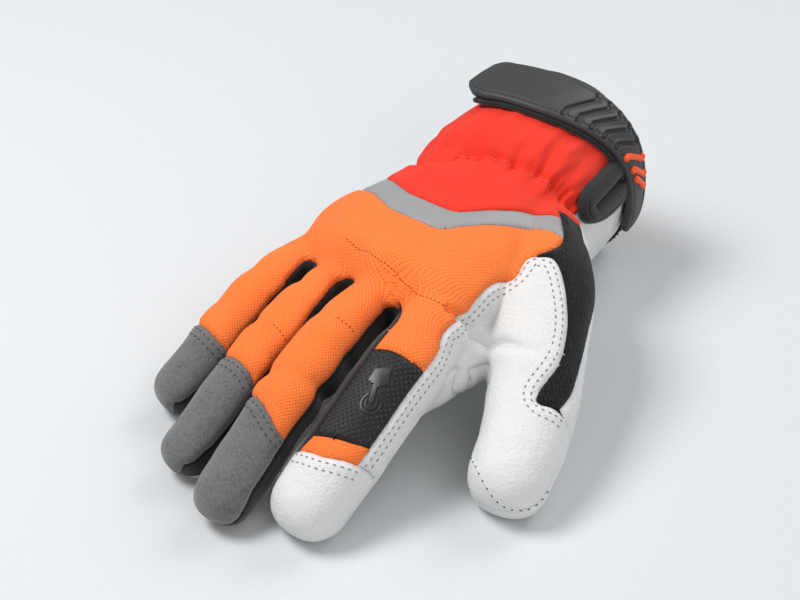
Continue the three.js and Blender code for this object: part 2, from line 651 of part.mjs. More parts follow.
const panels = [
  ["back_mesh", backMesh, 0xff7a33, 0.85],
  ["cuff_fabric", cuff, 0xfa4b37, 0.8],
  ["reflective_tape", tape, 0xa5a5a5, 0.45],
  ["palm_leather", palmLeather, 0xececec, 0.65],
  ["side_leather", sideLeather, 0xf0f0f0, 0.65],
  ["thumb_knit", thumbKnit, 0x222222, 0.95],
  ["index_cap", indexCap, 0xf0f0f0, 0.65],
  ["middle_cap", middleCap, 0x707070, 0.9],
  ["ring_cap", ringCap, 0x707070, 0.9],
  ["little_cap", littleCap, 0x707070, 0.9],
  ["index_middle_strip", indexStrip, 0x1c1c1c, 0.8],
  ["middle_ring_strip", middleStrip, 0x1c1c1c, 0.8],
  ["ring_little_strip", ringStrip, 0x1c1c1c, 0.8],
  ["touch_patch", patch, 0x262626, 0.6],
  ["index_band", band, 0xff7a33, 0.85],
  ["hem_binding", hemBinding, 0x1e1e1e, 0.85],
  ["slit_binding", slitBinding, 0x2b2d2d, 0.85],
  ["strap_backing", backing, 0x1a1a1a, 0.9],
  ["wrist_strap", strap, 0x4a4a4a, 0.55],
  ["strap_rib_1", ribs[0], 0xff5a1a, 0.5],
  ["strap_rib_2", ribs[1], 0xff5a1a, 0.5],
  ["strap_rib_3", ribs[2], 0xff5a1a, 0.5],
];

const glove = new THREE.Group();
for (const [name, solid, color, roughness] of panels) {
  const material = new THREE.MeshStandardMaterial({ color, roughness, metalness: 0 });
  const mesh = new THREE.Mesh(geometryOf(solid), material);
  mesh.name = name;
  glove.add(mesh);
}
const box = new THREE.Box3().setFromObject(glove);
glove.position.set(-(box.min.x + box.max.x) / 2, -(box.min.y + box.max.y) / 2, -box.min.z);

export default glove;
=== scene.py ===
"""A right-hand work glove sewn from mesh, twill, leather, suede and knit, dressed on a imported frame."""

import math

import bmesh
import bpy
import numpy as np
from mathutils import Matrix, Vector, noise
from mathutils.bvhtree import BVHTree
from mathutils.kdtree import KDTree


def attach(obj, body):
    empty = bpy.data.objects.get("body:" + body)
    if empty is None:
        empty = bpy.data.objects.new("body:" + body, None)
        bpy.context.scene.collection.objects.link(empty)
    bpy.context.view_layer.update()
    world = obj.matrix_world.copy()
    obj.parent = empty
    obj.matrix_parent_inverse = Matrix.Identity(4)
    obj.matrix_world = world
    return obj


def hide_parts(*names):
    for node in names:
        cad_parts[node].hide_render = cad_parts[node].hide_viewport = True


bl_info = {
    "name": "Sewn work glove",
    "version": (1, 0, 0),
    "blender": (4, 5, 0),
    "location": "3D View > Sidebar > Glove",
    "description": "Sews a right-hand work glove with a moulded wrist strap around a packed frame",
    "category": "Add Mesh",
}

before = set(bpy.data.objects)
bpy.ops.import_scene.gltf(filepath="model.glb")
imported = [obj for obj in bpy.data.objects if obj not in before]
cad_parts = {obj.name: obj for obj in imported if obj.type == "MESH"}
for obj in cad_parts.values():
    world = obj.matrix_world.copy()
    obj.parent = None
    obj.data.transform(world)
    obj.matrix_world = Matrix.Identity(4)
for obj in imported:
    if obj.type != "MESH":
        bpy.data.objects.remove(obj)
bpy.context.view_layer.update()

# The glove is worked out in millimetres from the middle of the wrist, fingertips toward -Y,
# thumb toward +X, z = 0 at the surface it lies on. WRIST is that point in the frame.
WRIST = np.array([-10.922, 54.904, 0.0])
MM = 0.001
UP = np.array([0.0, 0.0, 1.0])

PALM_LENGTH, PALM_WIDTH, PALM_THICK, PALM_LIFT = 72.0, 89.0, 45.0, 40.0
WRIST_WIDTH, WRIST_THICK = 69.0, 56.0
CUFF_LENGTH, CUFF_WIDTH, CUFF_THICK = 57.0, 75.0, 72.0
HAND_ROUNDNESS = 2.25
STEP = 360 / 28

# along, side, wide, lift, thick, slant, tilt, seam: shares of the palm, as on the frame.
PALM_ROWS = [
    (-1.0, -0.084, 0.78, 0.9, 0.46, -0.22, 0.1, -0.5),
    (-0.92, -0.084, 0.87, 0.98, 0.74, -0.22, 0.1, -0.5),
    (-0.78, -0.08, 0.944, 1.01, 0.87, -0.18, 0.1, -0.4),
    (-0.56, -0.068, 0.99, 1.03, 0.92, -0.1, 0.1, -0.3),
    (-0.33, -0.035, 0.95, 1.0, 1.0, 0.0, 0.08, -0.1),
    (-0.16, -0.015, 0.87, 0.95, 1.13, 0.0, 0.04, 0.1),
]
# The same for the cuff, as shares of the cuff.
CUFF_ROWS = [
    (0.17, -0.03, 1.02, 0.885, 0.9, 0.0, 0.0, 0.3),
    (0.33, -0.035, 1.02, 0.88, 0.96, 0.0, 0.0, 0.3),
    (0.46, -0.035, 1.0, 0.87, 0.98, 0.0, 0.0, 0.3),
    (1.0, -0.035, 0.9, 0.87, 1.0, 0.0, 0.0, 0.3),
]
# along, rise, wide, thick of a finger.
FINGER_ROWS = [
    (0.0, 1.0, 0.76, 0.96), (0.2, 1.0, 0.86, 1.0), (0.38, 0.94, 0.97, 1.02), (0.55, 0.79, 1.0, 1.0),
    (0.71, 0.55, 0.98, 0.97), (0.86, 0.26, 0.96, 0.94), (1.0, 0.0, 0.93, 0.9),
]
# length, width, side, along, lift, heading, bow, thick of each finger.
FINGERS = {
    "index": (86.0, 28.0, 0.253, -0.79, 1.0, 0.2, 0.11, 1.0),
    "middle": (99.0, 22.0, -0.027, -0.79, 0.96, -0.7, 0.02, 1.06),
    "ring": (89.0, 21.0, -0.262, -0.76, 0.865, -3.5, 0.08, 1.05),
    "little": (76.0, 21.5, -0.462, -0.61, 0.8, -8.9, 0.02, 1.03),
}
THUMB_LENGTH, THUMB_WIDTH = 110.0, 37.0
# out, along, rise, wide, thick of the thumb.
THUMB_ROWS = [
    (0.0, 0.0, 0.9, 0.7, 0.88), (0.08, 0.16, 1.0, 0.95, 0.97), (0.186, 0.32, 0.93, 1.0, 1.0),
    (0.283, 0.5, 0.66, 0.92, 0.92), (0.363, 0.66, 0.41, 0.865, 0.84), (0.416, 0.8, 0.17, 0.81, 0.785),
    (0.438, 0.9, 0.0, 0.757, 0.757),
]

# Kinds of panel, in the order in which they claim their part of the skin.
PANELS = [
    "palm_leather", "index_cap", "middle_cap", "ring_cap", "little_cap", "index_middle_strip",
    "middle_ring_strip", "ring_little_strip", "thumb_knit", "side_leather", "reflective_tape",
    "cuff_fabric", "touch_patch", "index_band", "back_mesh",
]
SLIT = -1
SLIT_TURN = 17

# How far each panel's middle stands above its seams, in millimetres.
LOFT = {
    "palm_leather": 0.35, "index_cap": 0.35, "middle_cap": 0.3, "ring_cap": 0.3, "little_cap": 0.3,
    "index_middle_strip": -0.6, "middle_ring_strip": -1.0, "ring_little_strip": -1.0,
    "thumb_knit": 0.05, "side_leather": 0.4, "reflective_tape": -0.02, "cuff_fabric": 0.3,
    "touch_patch": 0.05, "index_band": 0.15, "back_mesh": 0.3,
}

made = {}


# Curves and sections.

def spline(rows, t):
    """Values at shares t along rows that are passed through one after another."""
    rows = np.asarray(rows, float)
    padded = np.concatenate([[2 * rows[0] - rows[1]], rows, [2 * rows[-1] - rows[-2]]])
    x = np.clip(t, 0, 1) * (len(rows) - 1)
    i = np.minimum(x.astype(int), len(rows) - 2)
    f = (x - i)[:, None]
    a, b, c, d = (padded[i + k] for k in range(4))
    return 0.5 * (2 * b + (c - a) * f + (2 * a - 5 * b + 4 * c - d) * f**2 + (3 * b - a - 3 * c + d) * f**3)


def eased(knots, values, at):
    """Smooth values at any place between knots that aren't evenly spaced."""
    slope = np.gradient(values, knots, axis=0)
    at = np.clip(at, knots[0], knots[-1])
    i = np.clip(np.searchsorted(knots, at, side="right") - 1, 0, len(knots) - 2)
    h = knots[i + 1] - knots[i]
    t = ((at - knots[i]) / h)[:, None]
    h = h[:, None]
    return ((1 + 2 * t) * (1 - t)**2 * values[i] + t * (1 - t)**2 * h * slope[i]
            + t**2 * (3 - 2 * t) * values[i + 1] + t**2 * (t - 1) * h * slope[i + 1])


def unit(v):
    return v / np.linalg.norm(v, axis=-1, keepdims=True)


def power(x, p):
    return np.sign(x) * np.abs(x)**p


class Tube:
    """A finger, the thumb or a fold: a bent centre line with a width and a height along it."""

    def __init__(self, rows, count, roundness, reach):
        line = spline(rows, np.linspace(0, 1, count))
        self.c, self.hw, self.hh = line[:, :3], line[:, 3], line[:, 4]
        self.d = unit(np.gradient(self.c, axis=0))
        self.u = unit(np.cross(UP, self.d))
        self.v = np.cross(self.d, self.u)
        self.count, self.roundness, self.reach = count, roundness, reach
        self.step = np.linalg.norm(np.gradient(self.c, axis=0), axis=1)
        self.arc = np.concatenate([[0], np.cumsum(np.linalg.norm(np.diff(self.c, axis=0), axis=1))])

    def ring(self, i, ahead, scale, sides):
        a = np.linspace(0, 2 * np.pi, sides + 1)
        across = self.hw[i] * scale * power(np.cos(a), 2 / self.roundness)
        rise = self.hh[i] * scale * power(np.sin(a), 2 / self.roundness)
        return self.c[i] + self.d[i] * ahead + across[:, None] * self.u[i] + rise[:, None] * self.v[i]

    def rings(self, sides):
        rows = [self.ring(i, 0, 1, sides) for i in range(self.count)]
        for angle in np.linspace(0, 0.5 * np.pi, 12)[1:-1]:
            far = math.sin(angle)
            rows.append(self.ring(self.count - 1, self.reach * far, (1 - far**2.4)**(1 / 2.4), sides))
        return np.array(rows)

    def coords(self, p):
        """Share along, shares of the half width and half height, and the arc length of points."""
        squared = ((p[:, None, :] - self.c[None])**2).sum(-1)
        i = squared.argmin(1)
        rel = p - self.c[i]
        ahead = (rel * self.d[i]).sum(-1)
        t = (i + ahead / self.step[i]) / (self.count - 1)
        u = (rel * self.u[i]).sum(-1) / self.hw[i]
        v = (rel * self.v[i]).sum(-1) / self.hh[i]
        past = np.maximum(0, t - 1) * (self.count - 1) * self.step[-1] / self.reach
        rho = (np.abs(u)**2.3 + np.abs(v)**2.3 + past**2.3)**(1 / 2.3)
        return {"t": t, "u": u, "v": v, "rho": rho, "arc": self.arc[i] + ahead,
                "hw": self.hw[i], "hh": self.hh[i]}

    def at(self, share, across):
        """A plan point at a share along and a share of the half width across."""
        x = share * (self.count - 1)
        i = min(self.count - 2, max(0, int(x)))
        f = x - i
        mix = lambda a: a[i] * (1 - f) + a[i + 1] * f
        return (mix(self.c) + mix(self.u) * across * mix(self.hw))[:2]


def finger_tube(name):
    length, width, side, along, lift, heading, bow, thick = FINGERS[name]
    turn, half = math.radians(heading), width * thick / 2
    tip = half * 0.84
    rows = []
    for a, rise, wide, high in FINGER_ROWS:
        x = side * PALM_WIDTH + math.sin(turn) * length * a + bow * width * math.sin(math.pi * a)
        y = along * PALM_LENGTH - math.cos(turn) * length * a
        rows.append((x, y, tip + (lift * PALM_LIFT - tip) * rise, width / 2 * wide, half * high))
    return Tube(rows, 61, 2.3, width * 0.47)


def thumb_tube():
    rows = []
    for out, along, rise, wide, thick in THUMB_ROWS:
        x = 0.253 * PALM_WIDTH + out * THUMB_LENGTH
        y = 0.055 * PALM_LENGTH - along * THUMB_LENGTH
        z = 0.34 * THUMB_WIDTH + (PALM_LIFT - 0.34 * THUMB_WIDTH) * rise
        rows.append((x, y, z, THUMB_WIDTH / 2 * wide, THUMB_WIDTH / 2 * thick))
    return Tube(rows, 61, 2.2, THUMB_WIDTH * 0.38)


def hand_table():
    rows = [(a * PALM_LENGTH, s * PALM_WIDTH, l * PALM_LIFT, w * PALM_WIDTH / 2, k * PALM_THICK / 2, n, i, m)
            for a, s, w, l, k, n, i, m in PALM_ROWS]
    rows.append((0, 0, 0.885 * PALM_LIFT, WRIST_WIDTH / 2, WRIST_THICK / 2, 0, 0, 0.3))
    rows += [(a * CUFF_LENGTH, s * CUFF_WIDTH, l * PALM_LIFT, w * CUFF_WIDTH / 2, k * CUFF_THICK / 2, n, i, m)
             for a, s, w, l, k, n, i, m in CUFF_ROWS]
    return np.array(rows)


HAND = hand_table()
TUBES = {name: finger_tube(name) for name in FINGERS}
TUBES["thumb"] = thumb_tube()
thumb_middle = TUBES["thumb"].c[30]
WEB_ROWS = [
    (0.2 * PALM_WIDTH, -0.58 * PALM_LENGTH, 0.9 * PALM_LIFT, 0.3 * PALM_THICK, 0.26 * PALM_THICK),
    (0.4 * PALM_WIDTH, -0.63 * PALM_LENGTH, 0.8 * PALM_LIFT, 0.3 * PALM_THICK, 0.27 * PALM_THICK),
    (*thumb_middle, 0.27 * PALM_THICK, 0.27 * PALM_THICK),
]
FULL_ROWS = [
    (0.22 * PALM_WIDTH, -0.6 * PALM_LENGTH, 0.78 * PALM_LIFT, 0.55 * 28, 0.42 * 28),
    (0.29 * PALM_WIDTH, -0.84 * PALM_LENGTH, 0.72 * PALM_LIFT, 0.62 * 28, 0.42 * 28),
    (0.27 * PALM_WIDTH, -1.08 * PALM_LENGTH, 0.66 * PALM_LIFT, 0.56 * 28, 0.36 * 28),
    (0.255 * PALM_WIDTH, -1.26 * PALM_LENGTH, 0.6 * PALM_LIFT, 0.44 * 28, 0.3 * 28),
]
FOLDS = [Tube(WEB_ROWS, 21, 2.2, 3), Tube(FULL_ROWS, 25, 2.2, 9)]


def hand_row(y):
    """Middle, half sizes and slopes of the hand's section at each y."""
    x, z, hw, hh, slant, tilt, seam = eased(HAND[:, 0], HAND[:, 1:], np.atleast_1d(y)).T
    return {"x": x, "z": z, "hw": hw, "hh": hh, "slant": slant, "tilt": tilt, "seam": seam}


def cuff_point(turn, share, distance):
    """Points of the cuff, turn in degrees from the thumb side, grown outward by a distance."""
    turn, share, distance = np.broadcast_arrays(*(np.asarray(v, float) for v in (turn, share, distance)))
    shape = turn.shape
    row = hand_row(share.ravel() * CUFF_LENGTH)
    a = np.radians(turn.ravel())
    grow = distance.ravel()
    x = row["x"] + (row["hw"] + grow) * power(np.cos(a), 2 / HAND_ROUNDNESS)
    z = row["z"] + (row["hh"] + grow) * power(np.sin(a), 2 / HAND_ROUNDNESS)
    return np.stack([x, share.ravel() * CUFF_LENGTH, z], -1).reshape(*shape, 3)


# Meshes.

def loft_into(bm, rings, closed=True):
    """Skins rings of points with a grid, joins its seam and fills its ends."""
    rows, columns = rings.shape[:2]
    grid = bmesh.ops.create_grid(bm, x_segments=columns - 1, y_segments=rows - 1, size=1)["verts"]
    for vert, point in zip(grid, rings.reshape(-1, 3)):
        vert.co = point
    if not closed:
        return grid
    seam = [grid[r * columns + c] for r in range(rows) for c in (0, columns - 1)]
    bmesh.ops.remove_doubles(bm, verts=seam, dist=1e-4)
    rim = [e for e in bm.edges if e.is_boundary]
    bmesh.ops.holes_fill(bm, edges=rim, sides=0)
    return [v for v in grid if v.is_valid]


def placed(bm):
    """Moves a mesh in millimetres from the wrist to its place in the frame, in metres."""
    matrix = Matrix.Diagonal((MM, MM, MM, 1)) @ Matrix.Translation(WRIST)
    bmesh.ops.transform(bm, matrix=matrix, verts=bm.verts)


def piece_of(bm, name, material, smooth=True):
    """A finished piece from a mesh in millimetres."""
    placed(bm)
    mesh = bpy.data.meshes.new(name)
    for face in bm.faces:
        face.smooth = smooth
    bm.to_mesh(mesh)
    bm.free()
    mesh.materials.append(material)
    piece = bpy.data.objects.new(name, mesh)
    bpy.context.scene.collection.objects.link(piece)
    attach(piece, "root")
    return piece


def read(mesh):
    co = np.empty(len(mesh.vertices) * 3)
    mesh.vertices.foreach_get("co", co)
    edges = np.empty(len(mesh.edges) * 2, int)
    mesh.edges.foreach_get("vertices", edges)
    return co.reshape(-1, 3), edges.reshape(-1, 2)


def normals_of(mesh, co):
    mesh.vertices.foreach_set("co", co.ravel())
    mesh.update()
    out = np.empty(len(co) * 3)
    mesh.vertices.foreach_get("normal", out)
    return out.reshape(-1, 3)


def relaxed(co, edges, rounds, weight):
    """Points drawn toward the middle of their neighbours; weight may differ from point to point."""
    n = len(co)
    a, b = np.concatenate([edges, edges[:, ::-1]]).T
    count = np.bincount(a, minlength=n)[:, None]
    weight = np.broadcast_to(np.asarray(weight, float), n)[:, None]
    for _ in range(rounds):
        total = np.stack([np.bincount(a, co[b, k], n) for k in range(3)], -1)
        co = co + weight * (total / count - co)
    return co


def skin_mesh(voxel):
    """One smooth skin over the hand, the fingers and the folds, open at the cuff's mouth."""
    bm = bmesh.new()
    for tube in [*TUBES.values(), *FOLDS]:
        loft_into(bm, tube.rings(48))
    ys = np.linspace(HAND[0, 0], HAND[-1, 0], 90)
    row = hand_row(ys)
    a = np.linspace(0, 2 * np.pi, 121)
    across = row["hw"][:, None] * power(np.cos(a), 2 / HAND_ROUNDNESS)
    rise = row["hh"][:, None] * power(np.sin(a), 2 / HAND_ROUNDNESS)
    rings = np.stack([row["x"][:, None] + across, ys[:, None] + row["slant"][:, None] * across,
                      row["z"][:, None] + row["tilt"][:, None] * across + rise], -1)
    hem = rings[-1] + np.array([0, 4, 0])
    loft_into(bm, np.concatenate([rings, [hem]]))
    bmesh.ops.recalc_face_normals(bm, faces=bm.faces)
    mesh = bpy.data.meshes.new("skin")
    bm.to_mesh(mesh)
    bm.free()
    body = bpy.data.objects.new("skin", mesh)
    bpy.context.scene.collection.objects.link(body)
    remesh = body.modifiers.new("Skin", "REMESH")
    remesh.mode = "VOXEL"
    remesh.voxel_size = voxel
    solid = bpy.data.meshes.new_from_object(body.evaluated_get(bpy.context.evaluated_depsgraph_get()))
    bpy.data.objects.remove(body)
    bm = bmesh.new()
    bm.from_mesh(solid)
    bmesh.ops.bisect_plane(bm, geom=bm.verts[:] + bm.edges[:] + bm.faces[:], dist=1e-5,
                           plane_co=(0, CUFF_LENGTH, 0), plane_no=(0, 1, 0), clear_outer=True)
    bm.to_mesh(solid)
    bm.free()
    return solid


# Where each panel lies on the skin. A field is positive inside its panel, in millimetres.

def plan_field(outline, p):
    """How far inside a closed plan outline each point is."""
    a = np.asarray(outline, float)
    b = np.roll(a, -1, axis=0)
    inside = np.zeros(len(p), bool)
    nearest = np.full(len(p), 1e9)
    for (ax, ay), (bx, by) in zip(a, b):
        ex, ey = bx - ax, by - ay
        t = np.clip(((p[:, 0] - ax) * ex + (p[:, 1] - ay) * ey) / (ex * ex + ey * ey + 1e-12), 0, 1)
        nearest = np.minimum(nearest, np.hypot(p[:, 0] - ax - t * ex, p[:, 1] - ay - t * ey))
        crosses = (ay > p[:, 1]) != (by > p[:, 1])
        inside ^= crosses & (p[:, 0] < ex * (p[:, 1] - ay) / (ey if ey else 1e-12) + ax)
    return np.where(inside, nearest, -nearest)


def on_hand(side, along):
    return np.array([side * PALM_WIDTH, along * (PALM_LENGTH if along < 0 else CUFF_LENGTH)])


def rounded(points, count=8):
    """A smooth line through plan points."""
    points = np.array(points)
    return spline(points, np.linspace(0, 1, (len(points) - 1) * count + 1))


def block(c, length, start, left, right, low, high):
    """A block along a finger, its sides in shares of the half width and half height."""
    return np.minimum.reduce([
        (c["t"] - start) * length, (right - c["u"]) * c["hw"], (c["u"] - left) * c["hw"],
        (high - c["v"]) * c["hh"], (c["v"] - low) * c["hh"],
    ])


KNIT_EDGE = [
    (0.08, 0.35), (0.25, 0.4), (0.31, 0.2), (0.345, -0.2), (0.352, 0.18), (0.42, 0.43), (0.53, 0.6),
    (0.65, 0.53), (0.765, 0.22), (0.8, 0.3), (0.785, 0.7), (0.77, 1.4),
]
TAPE_EDGE = [
    (-0.62, -0.3), (-0.42, -0.4), (-0.2, -0.58), (0.045, -0.645),
    (0.16, -0.555), (0.3, -0.37), (0.4, -0.275), (0.62, -0.26),
]


def palm_field(p, c):
    row = hand_row(p[:, 1])
    drop = np.minimum(0, p[:, 0] - row["x"]) * row["tilt"]
    hand = np.minimum(row["z"] + row["hh"] * row["seam"] + drop - p[:, 2], p[:, 1] + 75)
    fields = [hand]
    for name, (length, *_rest) in FINGERS.items():
        high = -0.45
        if name == "middle":
            high = np.interp(c[name]["t"], [0.72, 0.86, 0.98], [-0.45, -0.75, -1.5])
        fields.append(block(c[name], length, 0.14, -1.2 if name == "index" else -1.03, 1.03, -9, high))
    fields.append(block(c["thumb"], THUMB_LENGTH, 0.12, -1.3, 1.3, -9, -0.05))
    thumb = TUBES["thumb"]
    heel = [thumb.at(0.16, 0.55), thumb.at(0.24, 1.3), on_hand(1.2, -0.3), on_hand(1.2, 0.9),
            on_hand(0.42, 0.9), on_hand(0.375, 0.5), on_hand(0.375, 0.2), on_hand(0.38, 0.08)]
    fields.append(np.minimum(plan_field(heel, p), PALM_LIFT * 1.22 - p[:, 2]))
    return np.maximum.reduce(fields)


def strip_field(p, c, first, second, web, inner, top):
    """Between two fingers: the facing walls, and the web that joins them."""
    one, two = c[first], c[second]
    high = np.interp(one["t"], [0.14, 0.2, 0.28, 0.36, 0.44, 0.6, 1.0], top)
    right = block(two, FINGERS[second][0], 0.1, -1.1, -0.02, -0.6, 0.4)
    left = block(one, FINGERS[first][0], 0.1, 0.02, 1.1, -1.5 if first == "middle" else -0.6, high)
    near, far = TUBES[first].at(0.14, 0.55), TUBES[second].at(0.14, -0.5)
    height = min(TUBES[first].c[8][2], TUBES[second].c[8][2]) + web * PALM_THICK
    box = [(near[0], -78), (far[0], -78), (far[0], inner * PALM_LENGTH), (near[0], inner * PALM_LENGTH)]
    middle = np.minimum(plan_field(box, p), height - p[:, 2])
    return np.maximum.reduce([left, right, middle])


def panel_fields(p, c):
    """Every panel's field over the skin."""
    index, length = c["index"], FINGERS["index"][0]
    fields = {"palm_leather": palm_field(p, c)}
    cap = np.interp(index["u"], [-1, -0.66, 0.14, 0.83, 1.1], [0.885, 0.873, 0.853, 0.81, 0.79])
    wall = np.interp(index["t"], [0.8, 0.95, 1.06], [-0.93, -0.97, -1.3])
    wall = np.where(index["v"] > 0.2, np.maximum(wall, -0.8), wall)
    nearest = {name: 12 * (np.minimum.reduce([c[n]["rho"] for n in FINGERS if n != name]) - c[name]["rho"])
               for name in FINGERS}
    fields["index_cap"] = np.minimum(block(index, length, cap, wall, 1.3, -0.6, 9), nearest["index"])
    starts = {"middle": ([-1, -0.4, 0.0, 0.4, 0.7, 1.1], [0.665, 0.675, 0.69, 0.71, 0.73, 0.75]),
              "ring": ([-1, 0, 0.6, 1], [0.635, 0.635, 0.65, 0.685]),
              "little": ([-1, 0, 1], [0.72, 0.73, 0.755])}
    for name, (at, start) in starts.items():
        k = c[name]
        start = np.interp(k["u"], at, start)
        low = np.interp(k["t"], [0.7, 0.95, 1.02, 1.08], [0.35, 0.3, 0.1, -0.15])
        if name != "middle":
            right = np.interp(k["t"], [0.7, 0.95, 1.0], [0.35, 0.4, 0.52])
            low = right - np.clip((0.5 - k["u"]) / 0.5, 0, 1) * (1.2 if name == "little" else 0.95)
        side = -1.3 if name == "little" else -1.06
        own = block(k, FINGERS[name][0], start, side, 1.06, low, 9)
        fields[name + "_cap"] = np.minimum(own, nearest[name])
    fields["index_middle_strip"] = strip_field(
        p, c, "middle", "index", 0.12, -0.94, [0.4, 0.42, 0.4, 0.38, 0.37, 0.33, 0.4])
    fields["middle_ring_strip"] = strip_field(
        p, c, "ring", "middle", 0.1, -0.88, [0.82, 0.82, 0.76, 0.68, 0.62, 0.52, 0.4])
    fields["ring_little_strip"] = strip_field(
        p, c, "little", "ring", 0.2, -0.84, [0.8, 0.78, 0.74, 0.66, 0.6, 0.5, 0.4])
    over = np.interp(index["t"], [0.15, 0.18, 0.21, 0.24, 0.28, 0.34, 0.8, 0.87, 1.1],
                     [-1.3, -1.06, -0.84, -0.64, -0.54, -0.47, -0.5, -0.7, -0.75])
    left_top = np.minimum(block(index, length, 0.14, -1.2, over, -0.6, 1.2), nearest["index"])
    fields["index_middle_strip"] = np.maximum(fields["index_middle_strip"], left_top)
    tube = TUBES["thumb"]
    knit = rounded([tube.at(a, b) for a, b in KNIT_EDGE])
    fields["thumb_knit"] = plan_field([*knit, tube.at(0.5, 1.7), tube.at(0.2, 1.8)], p)
    side = rounded([TUBES["index"].at(0.36, 1.2), TUBES["index"].at(0.3, 0.8), TUBES["index"].at(0.22, 0.76),
                    on_hand(0.383, -0.86), on_hand(0.4, -0.7), on_hand(0.435, -0.61),
                    tube.at(0.345, -0.24), tube.at(0.37, 0.8)])
    far = tube.at(1, 0) + np.array([0, -2 * tube.reach])
    outline = [*side, tube.at(0.8, 1.5), far + (1.6 * THUMB_WIDTH, 0), far - (0.9 * THUMB_WIDTH, 0)]
    index_side = block(index, length, 0.12, 0.3, 1.3, -0.6, 0.55)
    fields["side_leather"] = np.maximum(plan_field(outline, p), index_side)
    front = rounded([on_hand(a, b) for a, b in TAPE_EDGE], 5)
    back = front + np.array([0, 12.0])
    fields["reflective_tape"] = plan_field([*front, *back[::-1]], p)
    beyond = [(400, back[-1][1]), (400, 400), (-400, 400), (-400, back[0][1])]
    fields["cuff_fabric"] = plan_field([*back, *beyond], p)
    top = np.interp(index["u"], [-1, -0.4, 0, 0.45, 0.87], [0.445, 0.43, 0.421, 0.421, 0.415])
    bottom = np.interp(index["u"], [-1, -0.52, 0.08, 0.58, 0.83, 1.0],
                       [0.815, 0.797, 0.77, 0.752, 0.737, 0.73])
    patch = block(index, length, top, -1.06, 1.1, -0.45, 9)
    fields["touch_patch"] = np.minimum(patch, (bottom - index["t"]) * length)
    band = block(index, length, bottom, -1.06, 1.1, -0.45, 9)
    fields["index_band"] = np.minimum(band, (cap + 0.05 - index["t"]) * length)
    return fields


def cloth_coords(p, c, knit):
    """Lengths across and along the cloth, in millimetres, from the middle of its top."""
    row = hand_row(p[:, 1])
    angle = np.arctan2((p[:, 2] - row["z"]) / row["hh"], (p[:, 0] - row["x"]) / row["hw"])
    turn = (np.pi / 2 - angle + np.pi) % (2 * np.pi) - np.pi
    across = row["x"] + turn * (row["hw"] + row["hh"]) * 0.55
    along = p[:, 1].copy()
    names = list(c)
    best = np.argmin([c[name]["rho"] for name in names], axis=0)
    for i, name in enumerate(names):
        k, root = c[name], TUBES[name].c[0]
        share = np.clip((k["t"] - 0.06) / 0.22, 0, 1) * np.clip((1.5 - k["rho"]) / 0.25, 0, 1) * (best == i)
        if name == "thumb":
            share = np.clip(knit + 1, 0, 1) * (k["t"] > 0.05)
        share = share * share * (3 - 2 * share)
        turn = (np.pi / 2 - np.arctan2(k["v"], k["u"]) + np.pi) % (2 * np.pi) - np.pi
        across = across + share * (root[0] + turn * (k["hw"] + k["hh"]) * 0.55 - across)
        along = along + share * (root[1] - k["arc"] - along)
    return across, along


# Folds, gathers and dents of the worn cloth.

def rumple(points, size, seed):
    """Smooth noise at each point, with waves of about the given size."""
    shift = Vector((seed * 17.3, seed * 5.1, seed * 11.7))
    return np.array([noise.noise(Vector(q) / size + shift) for q in points])


def bump(x, width):
    return np.exp(-(x / width)**2)


GATHER = [(-0.5, -0.09), (-0.165, -0.1), (-0.145, -0.02), (-0.032, 0.025), (0.095, 0.042),
          (0.221, 0.074), (0.294, 0.093), (0.5, 0.15)]


